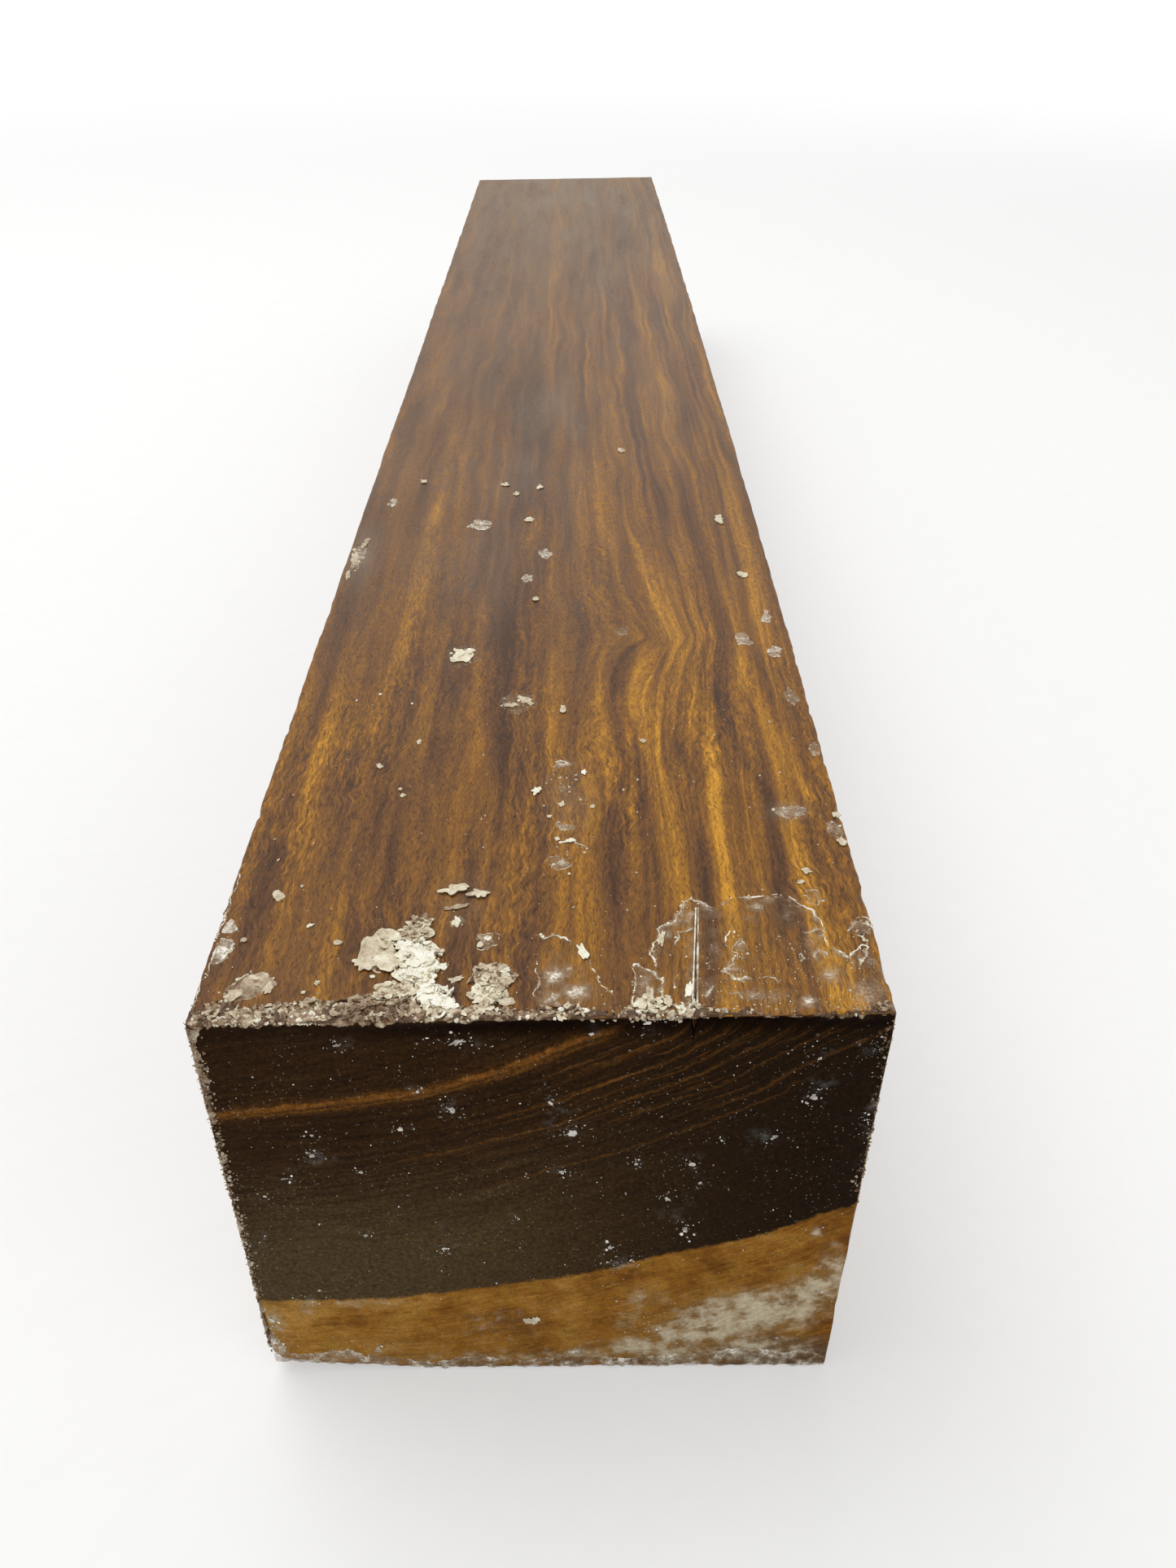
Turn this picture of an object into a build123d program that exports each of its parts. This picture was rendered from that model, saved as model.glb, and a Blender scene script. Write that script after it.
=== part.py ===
"""A sawn blank of lignum vitae: one solid stick of timber, about 90 x 80 x 600 mm.

It lies as in the photograph: its length runs along Y, the waxed end nearest the viewer is at -Y, and it rests
on its sapwood side. The origin is the middle of the underside's bounding rectangle, with +Z up.
"""

import os

from build123d import *

# Driving dimensions, in millimetres
length = 600.0  # along the grain
width = 90.0  # across the ends, from side to side
left_height = 79.3  # from the underside to the upper face, at the left side
height_gain = 1.4  # how much higher the right side is, because the two cuts were not parallel
side_belly = 1.0  # how far the saw wandered outwards in the middle of the right side
arris_round = 0.6  # wear on every arris
corner_rise = 2.4  # the knocked lower left corner of the near end: how high it goes up the arris
corner_run = 26.0  # how far it runs along the near arris
corner_reach = 32.0  # how far it runs along the left arris
check_length = 20.0  # the drying check: how far it runs in from the near end
check_mouth = 0.45  # its width at the near end, from where it closes to nothing
check_depth = 2.0  # how deep it goes into the upper face
check_offset = 19.4  # from the middle of the end to its mouth, towards the right side
check_drift = 1.9  # how far it drifts to the right along the grain

# Places that follow from those
overall_width = width + side_belly
left = -overall_width / 2
right = left + width
near = -length / 2
far = length / 2
check_x = left + width / 2 + check_offset
rough_height = left_height + 2 * height_gain + arris_round
saw_plane = Plane(origin=(left, 0, left_height), x_dir=(width, 0, height_gain), z_dir=(-height_gain, 0, width))
knocked_plane = Plane(
    origin=(left, near, corner_rise),
    x_dir=(corner_run, 0, -corner_rise),
    z_dir=(corner_rise * corner_reach, corner_rise * corner_run, corner_run * corner_reach),
)

# The blank: its outline from above, with the right side bowed by the saw, raised past its full height
# and then sawn down along the sloping plane of the upper face
with BuildPart() as block:
    with BuildSketch(Plane.XY):
        with BuildLine():
            Polyline((right, far), (left, far), (left, near), (right, near))
            ThreePointArc((right, near), (right + side_belly, 0), (right, far))
        make_face()
    extrude(amount=rough_height)
    split(bisect_by=saw_plane, keep=Keep.BOTTOM)
    fillet(block.edges(), radius=arris_round)

    # The knocked corner: a shallow slope that took off the point between the near end, the left side and
    # the underside
    split(bisect_by=knocked_plane, keep=Keep.TOP)

    # The drying check: a narrow wedge that opens at the near end and runs in along the grain
    with BuildSketch(saw_plane):
        with Locations((check_x - left, near)):
            Polygon((-check_mouth / 2, 0), (check_mouth / 2, 0), (check_drift, check_length), align=None)
    extrude(amount=-check_depth, mode=Mode.SUBTRACT)

block.part.label = "lignum_vitae_block"
os.makedirs("parts", exist_ok=True)
export_step(block.part, "parts/lignum_vitae_block.step")
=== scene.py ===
"""A sawn blank of lignum vitae, as it lies on a pale floor, with the remains of its sealing wax.

Lengths in this file are millimetres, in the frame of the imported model: X to the right, Y along the grain
towards the plain end, Z up, with the origin in the middle of the underside. solid() turns them into metres.
"""

import math

import bpy
import numpy as np
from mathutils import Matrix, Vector


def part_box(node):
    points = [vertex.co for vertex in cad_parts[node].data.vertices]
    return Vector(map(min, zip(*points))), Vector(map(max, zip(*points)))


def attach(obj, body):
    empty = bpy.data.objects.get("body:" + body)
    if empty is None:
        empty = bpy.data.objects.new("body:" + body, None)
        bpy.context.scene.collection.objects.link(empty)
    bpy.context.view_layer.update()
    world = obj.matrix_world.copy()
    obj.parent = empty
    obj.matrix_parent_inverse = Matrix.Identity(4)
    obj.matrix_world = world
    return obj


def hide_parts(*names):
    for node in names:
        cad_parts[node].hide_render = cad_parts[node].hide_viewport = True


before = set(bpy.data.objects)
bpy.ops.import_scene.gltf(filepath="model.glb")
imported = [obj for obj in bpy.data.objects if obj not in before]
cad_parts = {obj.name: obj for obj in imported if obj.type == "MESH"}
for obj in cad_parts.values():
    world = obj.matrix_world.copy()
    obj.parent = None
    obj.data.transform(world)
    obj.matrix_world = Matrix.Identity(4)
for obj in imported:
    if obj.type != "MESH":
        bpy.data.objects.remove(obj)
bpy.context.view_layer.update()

# The blank: one stick of heartwood with a crescent of sapwood along its underside. It was sawn on all
# sides and its upper face dressed smooth; its arrises are worn, and a drying check opens at the near end.
MM = 0.001
lowest, highest = (np.array(corner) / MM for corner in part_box("lignum_vitae_block"))
LEFT, NEAR, UNDER = lowest
BELLY = 1.0  # how far the right side bows outwards at mid-length
RIGHT = highest[0] - BELLY
FAR = highest[1]
HEIGHT_GAIN = 1.4  # how much higher the right side is than the left
LEFT_HEIGHT = highest[2] - HEIGHT_GAIN
PITH_X, PITH_Z = -56.0, 195.0  # where the middle of the tree was, outside the blank
SAPWOOD_FROM, SAPWOOD_PURE = 178.9, 179.7  # the distances from the pith between which it sets in
CHECK_MOUTH_X, CHECK_DRIFT, CHECK_LENGTH = 18.9, 1.9, 20.0
CHECK_HALF_WIDTH, CHECK_DEPTH = 0.22, 2.0
CHECK_FADE = 14.0
KNOCK_RISE, KNOCK_RUN, KNOCK_REACH = 2.4, 26.0, 32.0  # the knocked lower left corner of the near end
INSET = 0.14  # how far the sawn faces lie inside the outline, so that their relief stays within it


def smooth(low, high, value):
    """0 below low, 1 above high, and the s-curve 3t^2 - 2t^3 between them."""
    t = np.clip((value - low) / (high - low), 0.0, 1.0)
    return t * t * (3.0 - 2.0 * t)


def hills(a, b, seed, octaves=1):
    """Random hills between about -1 and 1: a random height at each whole (a, b), joined by s-curves.
    Each further octave adds hills half as wide and half as high."""
    heights = np.random.default_rng(seed).uniform(-1.0, 1.0, (257, 257))
    total = np.zeros(np.broadcast(a, b).shape)
    for octave in range(octaves):
        p, q = a * 2.0**octave + 17.3 * octave, b * 2.0**octave + 31.7 * octave
        i, j = np.floor(p).astype(int), np.floor(q).astype(int)
        s, t = smooth(0.0, 1.0, p - i), smooth(0.0, 1.0, q - j)
        i, j = i % 256, j % 256
        here = heights[i, j] * (1.0 - s) + heights[i + 1, j] * s
        beyond = heights[i, j + 1] * (1.0 - s) + heights[i + 1, j + 1] * s
        total = total + (here * (1.0 - t) + beyond * t) / 2.0**octave
    return total


def cuts(start, stop, first, last):
    """Places from start to stop whose spacing grows evenly from first to last."""
    count = max(2, round(2.0 * (stop - start) / (first + last)))
    s = np.linspace(0.0, 1.0, count + 1)
    return start + (stop - start) * (first * s + (last - first) * s * s / 2.0) * 2.0 / (first + last)


def upper(x):
    """Height of the upper face, which rises evenly from the left side to the right."""
    return LEFT_HEIGHT + (x - LEFT) * HEIGHT_GAIN / (RIGHT - LEFT)


def upper_relief(x, y):
    """Height of the cutter's ripple and the raised grain on the dressed upper face."""
    ripple = 0.012 * np.sin(y / 1.7 + 2.0 * hills(x / 30.0, y / 50.0, 3))
    return ripple + 0.045 * hills(x / 9.0, y / 60.0, 4, 2) - 0.03


def end_relief(x, z):
    """How far the saw's arcs and the rough grain of a sawn end stand out from its plane."""
    arcs = 0.05 * np.sin(np.hypot(x - 300.0, z - 40.0) * 2.4 + 2.0 * hills(x / 12.0, z / 12.0, 23))
    return arcs + 0.07 * hills(x / 6.0, z / 6.0, 24, 2) - INSET


def hollow(x, z):
    """Depth of the hollow that runs along the near end just under its upper arris, where the grain tore."""
    along = smooth(-30.0, 8.0, x) * smooth(44.0, 30.0, x)
    down = np.exp(-(((z - LEFT_HEIGHT + 1.5) / 0.9) ** 2))
    return along * down * (0.9 + 0.5 * hills(x / 4.0, z / 2.0, 25, 2))


def knock(x, y):
    """Height of the knocked corner's slope: rise * (1 - way along the near arris / run - way along the left
    arris / reach), and 0 beyond it."""
    way = (x - LEFT) / KNOCK_RUN + (y - NEAR) / KNOCK_REACH
    return KNOCK_RISE * np.clip(1.0 - way, 0.0, None)


def solid(name, points, faces, material, attributes=None, smooth_shaded=True):
    """A mesh piece from points in millimetres, faces as rows of corner numbers, and values for each point."""
    mesh = bpy.data.meshes.new(name)
    mesh.from_pydata(np.asarray(points) * MM, [], np.asarray(faces).tolist())
    mesh.polygons.foreach_set("use_smooth", np.full(len(mesh.polygons), smooth_shaded))
    for key, values in (attributes or {}).items():
        layer = mesh.attributes.new(key, "FLOAT", "POINT")
        layer.data.foreach_set("value", np.asarray(values, np.float32))
    mesh.materials.append(material)
    piece = bpy.data.objects.new(name, mesh)
    bpy.context.scene.collection.objects.link(piece)
    return piece


class Field:
    """A number that varies over a surface: the output socket of a shader node. Sums of it add Math nodes."""

    def __init__(self, finish, socket):
        self.finish, self.socket = finish, socket

    def math(self, operation, *others, **settings):
        """A Math node whose inputs are this number and the others."""
        settings["operation"] = operation
        return self.finish.node("ShaderNodeMath", settings, dict(enumerate((self, *others))))

    def __add__(self, other):
        return self.math("ADD", other)

    def __sub__(self, other):
        return self.math("SUBTRACT", other)

    def __rsub__(self, other):
        return (self * -1.0) + other

    def __mul__(self, other):
        return self.math("MULTIPLY", other)

    def __truediv__(self, other):
        return self.math("DIVIDE", other)

    __radd__, __rmul__ = __add__, __mul__

    def clip(self):
        """The number held between 0 and 1."""
        return self.math("ADD", 0.0, use_clamp=True)

    def step(self, low, high):
        """0 below low, 1 above high, and an s-curve between them."""
        sockets = {"Value": self, "From Min": low, "From Max": high}
        return self.finish.node("ShaderNodeMapRange", {"interpolation_type": "SMOOTHSTEP"}, sockets)

    def hump(self, middle, width):
        """A bell of height 1: exp(-((value - middle) / width)^2)."""
        away = (self - middle) / width
        return (away * away * -1.0).math("EXPONENT")

    def tint(self, *stops):
        """Colours chosen by the number: stops are (place, (red, green, blue)), joined evenly."""
        return self.finish.node("ShaderNodeValToRGB", {"stops": stops}, {0: self})


class Finish:
    """A material that is built from nodes: its surface shader, and the numbers and colours that feed it."""

    def __init__(self, name, **constants):
        self.material = bpy.data.materials.new(name)
        self.material.use_nodes = True
        self.tree = self.material.node_tree
        self.surface = self.tree.nodes["Principled BSDF"]
        for key, value in constants.items():
            self.surface.inputs[key.replace("_", " ")].default_value = value

    def node(self, kind, settings=None, sockets=None, output=0):
        """Adds a node: its settings are set first, then its sockets get their values or links."""
        node = self.tree.nodes.new(kind)
        for key, value in (settings or {}).items():
            if key == "stops":
                ramp = node.color_ramp
                while len(ramp.elements) < len(value):
                    ramp.elements.new(1.0)
                for element, (place, colour) in zip(ramp.elements, value):
                    element.position = place
                    element.color = (*colour, 1.0)
            else:
                setattr(node, key, value)
        for key, value in (sockets or {}).items():
            self.feed(node.inputs[key], value)
        return Field(self, node.outputs[output])

    def feed(self, socket, value):
        """Links a field to a socket, or sets its plain value."""
        if isinstance(value, Field):
            self.tree.links.new(value.socket, socket)
        else:
            socket.default_value = value

    def place(self, x=1.0, y=1.0, z=1.0):
        """Object coordinates in millimetres, each times its factor."""
        here = self.node("ShaderNodeTexCoord", output=3)
        scale = tuple(factor / MM for factor in (x, y, z))
        return self.node("ShaderNodeVectorMath", {"operation": "MULTIPLY"}, {0: here, 1: scale})

    def noise(self, at, detail=2.0, rough=0.5, bend=0.0):
        """Soft noise around 0, between about -0.5 and 0.5, with one lump for each unit of the place."""
        sockets = {"Vector": at, "Scale": 1.0, "Detail": detail, "Roughness": rough, "Distortion": bend}
        return self.node("ShaderNodeTexNoise", {}, sockets) - 0.5

    def cells(self, at):
        """The distance to the nearest of some random points, about one for each unit of the place."""
        return self.node("ShaderNodeTexVoronoi", {}, {"Vector": at, "Scale": 1.0})

    def mix(self, factor, one, other):
        """The colour one where the factor is 0, and the other where it is 1."""
        colours = [c if isinstance(c, Field) else (*c, 1.0) for c in (one, other)]
        sockets = {0: factor, 6: colours[0], 7: colours[1]}
        return self.node("ShaderNodeMix", {"data_type": "RGBA"}, sockets, output=2)

    def dim(self, colour, factor):
        """The colour times a number."""
        return self.node("ShaderNodeVectorMath", {"operation": "SCALE"}, {0: colour, "Scale": factor})

    def vector(self, x, y, z):
        return self.node("ShaderNodeCombineXYZ", {}, {0: x, 1: y, 2: z})

    def attribute(self, name):
        return self.node("ShaderNodeAttribute", {"attribute_name": name}, output=2)

    def bump(self, height, depth):
        """A normal for the height, which is in units of depth millimetres."""
        return self.node("ShaderNodeBump", {}, {"Height": height, "Distance": depth * MM, "Strength": 1.0})

    def dress(self, **fields):
        """The material, once the fields are linked to the sockets of its surface shader."""
        for key, field in fields.items():
            self.feed(self.surface.inputs[key.replace("_", " ")], field)
        return self.material


def box_skin(xs, ys, zs):
    """Points and four-cornered faces of a box that is cut at xs, ys and zs: six grids, welded at its edges.
    Returns the points, the faces, and for each face whether it lies on one of the two ends."""
    counts = len(xs), len(ys), len(zs)
    corners, on_end = [], []
    for axis in range(3):
        first, second = (axis + 1) % 3, (axis + 2) % 3
        i, j = np.meshgrid(range(counts[first] - 1), range(counts[second] - 1), indexing="ij")
        for level, order in ((0, (0, 3, 2, 1)), (counts[axis] - 1, (0, 1, 2, 3))):
            ring = []
            for di, dj in ((0, 0), (1, 0), (1, 1), (0, 1)):
                place = np.zeros((i.size, 3), int)
                place[:, axis] = level
                place[:, first] = (i + di).ravel()
                place[:, second] = (j + dj).ravel()
                ring.append(place)
            corners.append(np.stack([ring[k] for k in order], 1))
            on_end.append(np.full(i.size, axis == 1))
    corners = np.concatenate(corners)
    numbers = (corners[..., 0] * counts[1] + corners[..., 1]) * counts[2] + corners[..., 2]
    unique, faces = np.unique(numbers, return_inverse=True)
    k = unique % counts[2]
    j = unique // counts[2] % counts[1]
    i = unique // (counts[2] * counts[1])
    return np.stack([xs[i], ys[j], zs[k]], 1), faces.reshape(-1, 4), np.concatenate(on_end)


# The mesh: fine steps along every edge, where the wood is worn, lines at the check, and along the grain
# steps that grow from the near end to the far one
edge = np.array([0.0, 0.1, 0.24, 0.42, 0.64, 0.9, 1.25, 1.7, 2.3, 3.0])
check_lines = np.array([-1.2, -0.6, -0.3, 0.0, 0.3, 0.6, 1.2]) + CHECK_MOUTH_X
inner_x = np.concatenate([cuts(LEFT + 3.8, CHECK_MOUTH_X - 1.9, 0.8, 0.8), check_lines,
                          cuts(CHECK_MOUTH_X + 1.9, RIGHT - 3.8, 0.8, 0.8)])
xs = np.concatenate([LEFT + edge, inner_x, (RIGHT - edge)[::-1]])
ys = np.concatenate([NEAR + edge, cuts(NEAR + 3.7, FAR - 4.5, 0.7, 4.9), (FAR - edge)[::-1]])
zs = np.concatenate([UNDER + edge, cuts(UNDER + 4.3, LEFT_HEIGHT - 4.3, 2.4, 2.0),
                     (LEFT_HEIGHT - edge)[::-1]])
grid, quads, on_end = box_skin(xs, ys, zs)
x, y, z = grid.T

# Each arris is rounded by the wear on it: a point within that distance of an edge moves onto a ball of
# that radius. Wear grows at the corners, and nicks are places where it is several times as large.
on_an_end = np.abs((y - NEAR) / (FAR - NEAR) - 0.5) > 0.499
along = np.where(on_an_end, x, y)
wear = 0.45 + 0.25 * hills(along / 7.0, z / 9.0, 11, 3)
nicks = smooth(0.35, 0.9, hills(along / 3.0 + 50.0, (x + z) / 40.0, 12, 2))
nicks *= 0.3 + 0.7 * smooth(-150.0, -260.0, y)
bruise = np.exp(-((x - LEFT) ** 2 + (y - NEAR) ** 2 + z**2) / 30.0)
wear = np.clip(wear + 0.9 * nicks + 1.1 * bruise, 0.15, 2.2)
low = np.stack([LEFT + wear, NEAR + wear, UNDER + wear], 1)
high = np.stack([RIGHT - wear, FAR - wear, LEFT_HEIGHT - wear], 1)
core = np.clip(grid, low, high)
outward = grid - core
length = np.linalg.norm(outward, axis=1, keepdims=True)
outward = outward / np.maximum(length, 1e-9)
points = core + outward * wear[:, None]

# The saws left their marks: shallow steps across the two sides and the underside, arcs on the ends
side_marks = 0.06 * np.sin(y * 2.1 + 0.03 * z + 3.0 * hills(y / 20.0, z / 60.0, 21))
side_marks += 0.10 * hills(y / 5.0 + 0.02 * z, z / 30.0, 22, 2)
relief = np.abs(outward[:, 0]) * (side_marks - INSET) + np.abs(outward[:, 1]) * end_relief(x, z)
below = -outward[:, 2] * np.clip(side_marks - INSET, None, 0.0)
relief += np.where(outward[:, 2] > 0.0, outward[:, 2] * upper_relief(x, y), below)
points += outward * relief[:, None]
points[:, 1] += np.where(y < NEAR + 2.5, hollow(x, z) * smooth(0.0, 0.8, LEFT_HEIGHT - z), 0.0)
points[:, 2] += knock(x, y) * np.clip(1.0 - z / 12.0, 0.0, 1.0)

share = (points[:, 0] - LEFT) / (RIGHT - LEFT)
points[:, 0] += BELLY * (1.0 - (y / FAR) ** 2) * share
points[:, 2] *= (LEFT_HEIGHT + HEIGHT_GAIN * share) / LEFT_HEIGHT
from_mouth = np.clip((y - NEAR) / CHECK_LENGTH, 0.0, 1.0)
across = x - CHECK_MOUTH_X
on_line = np.abs(across) < 0.1
top_share = smooth(LEFT_HEIGHT - CHECK_FADE, LEFT_HEIGHT, z)
line_reach = np.abs(check_lines[4] - CHECK_MOUTH_X)
half_width = CHECK_HALF_WIDTH * (1.0 - from_mouth)
points[:, 0] += top_share * CHECK_DRIFT * from_mouth * np.exp(-((across / 5.0) ** 2)) * (y < 0.0)
pinch = (half_width - line_reach) * np.sign(across) * smooth(1.3, line_reach, np.abs(across))
points[:, 0] += np.where(on_line, 0.0, pinch) * top_share * smooth(30.0, 20.0, y - NEAR)
depth = CHECK_DEPTH * np.sqrt(1.0 - from_mouth) * on_line
points[:, 2] -= depth * np.clip((z - LEFT_HEIGHT + CHECK_FADE) / CHECK_FADE, 0.0, 1.0)


def streak(x, y, start, stop, bend, width):
    """A streak along the grain, 1 on its line and fading to 0 within its width and towards its ends.
    Its line runs from start to stop and leans out sideways by bend in the middle."""
    t = (y - start[1]) / (stop[1] - start[1])
    line = start[0] + (stop[0] - start[0]) * t + bend * 4.0 * t * (1.0 - t)
    fade = smooth(-0.18, 0.15, t) * smooth(1.18, 0.85, t)
    return fade * np.exp(-(((x - line) / width) ** 2))


# Streaks of the upper face: (start, stop, bend, width, strength), light ones positive, dark ones negative
STREAKS = [
    ((9, -118), (16.5, -200), -1.2, 1.3, 0.9), ((22, -140), (30, -200), -0.6, 1.5, 0.65),
    ((26, -70), (21.5, -150), -1, 2.4, 0.35), ((13, -62), (8.5, -125), -1, 1.8, 0.4),
    ((3.2, -60), (4.5, -165), -1, 1.7, -0.75), ((5, -165), (4.3, -245), 0.6, 1.9, -0.8),
    ((15, -203), (10.5, -224), -0.4, 1.1, -0.9), ((21.6, -203), (21.5, -243), -2.4, 1.2, -0.95),
    ((17, -204), (14, -236), -1.2, 1.5, 0.5), ((24.5, -203), (26.6, -250), -1.5, 1.2, 0.2),
    ((-0.6, -205), (-0.7, -245), 0, 0.8, 0.9), ((29.5, -218), (34.5, -255), -1.2, 0.9, -0.8),
    ((34.2, -253), (32, -284), 0.8, 1.6, -1.35), ((35, -212), (41.5, -256), -1, 1.1, 0.85),
    ((27.5, -206), (29, -243), 0.3, 1, -0.35), ((38, -205), (38.6, -236), 0, 1.4, -0.6),
    ((36.5, -258), (38, -302), -0.6, 1.7, 0.85), ((40.6, -256), (41.6, -296), 0, 1.6, -0.9),
    ((27.4, -246), (26.8, -286), -0.3, 1.5, 0.22), ((18.5, -246), (19.5, -285), 0.5, 1.5, 0.6),
    ((11, -238), (12.4, -276), 0.8, 1, 0.35), ((14.5, -245), (15.5, -292), 0.4, 1, -0.6),
    ((9.8, -252), (9.2, -300), -0.4, 1.3, -1), ((28.8, -262), (28, -296), 0, 1, 0.3),
    ((23.8, -240), (22.2, -292), -0.2, 1.1, -0.8), ((4.6, -270), (3, -300), 0.5, 1.2, 0.5),
    ((-28.5, -128), (-27, -192), 0.8, 2.3, 1), ((-27.5, -192), (-33, -236), 0.3, 2, 0.6),
    ((-40, -236), (-36, -266), -0.8, 2.6, 0.5), ((-36, -262), (-38.5, -296), 0.8, 1, 0.5),
    ((-38, -100), (-37, -160), 0.6, 1.6, 0.4), ((-34, -60), (-23, -110), -0.8, 1.7, 0.45),
    ((-33, -118), (-33, -150), 0.8, 2.6, -0.45), ((-16, -150), (-18, -232), 1.2, 4, -0.45),
    ((-25, -236), (-24.6, -266), 0, 1, 0.5), ((-28.2, -236), (-28.2, -275), 0.5, 1, -0.5),
    ((-14.5, -204), (-14.8, -230), 0.6, 0.9, 0.5), ((-15.6, -244), (-15.2, -276), 0.4, 0.9, 0.5),
    ((-9.4, -246), (-9, -290), 0.3, 0.9, 0.7), ((-5.4, -236), (-5.2, -262), 0.1, 0.7, -0.7),
    ((-19, -236), (-19.5, -262), 0.6, 1.4, -0.5), ((-30, -276), (-29.5, -302), 0.4, 1.3, 0.6),
    ((-25.5, -278), (-26, -300), -0.3, 1.1, -0.6), ((-41, -262), (-42, -292), 0.5, 1.6, -0.5),
    ((-8, 10), (-6.5, -130), 0.8, 3, -0.55), ((-36, 20), (-34, -50), 1, 3.5, 0.4),
    ((-30, 85), (-24, 30), 1, 4.5, -0.5), ((-12, 200), (-9, 90), 1, 4.5, -0.5),
    ((18, 150), (20, 90), 0.5, 4, 0.35), ((38, 40), (27, -60), 1, 2.6, 0.4),
    ((42, -10), (34, -85), 0.5, 2, -0.5), ((41, 300), (41, 120), 0, 3, -0.5),
    ((20, -242), (20, -300), 0, 9, -0.12), ((-6, -236), (-22, -300), 0, 9, -0.35),
    ((-33, -248), (-33, -302), 0, 13, -0.34), ((-34, -180), (-34, -240), 0, 9, 0.15),
    ((-9.5, -50), (-9, -228), 0, 7.5, -0.98), ((9, -60), (9, -215), 0, 6.5, -0.42),
    ((29, -80), (30, -205), 0, 10, 0.55), ((30.5, -262), (31.5, -302), 0, 2.2, 0.45),
]
wandering = points[:, 0] + 0.35 * hills(points[:, 0] / 9.0, y / 15.0, 6, 2)
tone = sum(strength * streak(wandering, y, start, stop, bend, width)
           for start, stop, bend, width, strength in STREAKS)
tone *= 0.85 + 0.45 * hills(points[:, 0] / 3.0, y / 15.0, 7, 2)
tone *= np.exp(-(upper(points[:, 0]) - points[:, 2]) / 4.0)

# Rings part around a small knot in the upper face: from both sides they bend right towards it
KNOT_X, KNOT_Y = 19.0, -201.0
KNOT_PULL = 8.5  # how far it draws them aside
KNOT_BEYOND, KNOT_BEFORE, KNOT_BESIDE = 42.0, 13.0, 11.0  # how far its pull reaches
from_knot = np.where(y > KNOT_Y, (y - KNOT_Y) / KNOT_BEYOND, (KNOT_Y - y) / KNOT_BEFORE)
drift = KNOT_PULL * np.exp(-from_knot - ((points[:, 0] - KNOT_X) / KNOT_BESIDE) ** 2)
drift *= np.exp(-(upper(points[:, 0]) - points[:, 2]) / 12.0)


def spots(a, b, rows):
    """How strongly some soft ovals mark each point: the largest of strength * exp(-(oval distance)^2). A row
    is (a, b, half width, half length, turn in degrees, strength)."""
    mark = np.zeros(np.shape(a))
    for middle_a, middle_b, wide, long, turn, strength in rows:
        cos, sin = math.cos(math.radians(turn)), math.sin(math.radians(turn))
        da, db = a - middle_a, b - middle_b
        distance = np.hypot((da * cos + db * sin) / wide, (db * cos - da * sin) / long)
        mark = np.maximum(mark, strength * np.exp(-(distance**2)))
    return mark


# Where specks of wax are left on the near end: (x, z, half width, half length, shade)
SPECKS = [
    (-17, 66.7, 0.8, 0.8, 0.7), (-12.7, 63, 1.2, 2, 0.55), (-19.9, 59.2, 1.3, 1.1, 0.7),
    (-32, 58, 0.8, 0.7, 0.6), (0.5, 64.2, 0.8, 1.5, 0.8), (3.4, 58, 2.2, 1.8, 0.75), (1.8, 50, 1.3, 1, 0.6),
    (12.2, 51.3, 0.8, 0.8, 0.7), (20, 51.3, 1.5, 1.4, 0.7), (21.3, 47.2, 1, 0.9, 0.6),
    (16.8, 43.8, 1, 1.5, 0.65), (19.7, 36.3, 1, 2, 0.6), (8.8, 32.2, 1, 1.2, 0.6),
    (35.5, 65, 1.5, 1.8, 0.6), (35.5, 72.6, 0.9, 0.8, 0.7), (31, 57.2, 1.5, 1, 0.45),
    (-26.2, 50, 1, 0.9, 0.6), (-32.5, 53.8, 1.5, 1.1, 0.45), (-37, 48.8, 0.8, 0.8, 0.4),
    (-40.3, 45, 0.8, 0.7, 0.6), (-21.6, 42.2, 0.4, 0.4, 0.8), (-27, 35.5, 1, 0.9, 0.6),
    (-15.7, 32.2, 1.5, 1, 0.65), (-4.5, 39.3, 0.5, 0.4, 0.8), (23.8, 56.3, 0.5, 0.5, 0.8),
    (3.8, 4.6, 1, 1.5, 0.7), (-27.4, 6.5, 0.8, 0.8, 0.7), (-42.9, 7.4, 0.6, 0.6, 0.95),
    (-43.8, 14, 1, 2, 0.75), (-26.6, 75.5, 1.5, 0.9, 0.5), (-11.2, 75.9, 3.5, 1, 0.6),
    (5.9, 77.2, 1.2, 0.8, 0.7), (13, 78.2, 2, 1.2, 0.8), (42.5, 74, 1.8, 1.6, 0.5), (43.4, 60, 1, 3, 0.5),
    (36, 15, 7, 4, 0.6), (20, 12, 4, 4, 0.5), (-38, 18.5, 1.4, 1.6, 0.7), (10, 28.5, 3, 2, 0.5),
    (-42.6, 34, 1.2, 2, 0.5),
]
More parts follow.
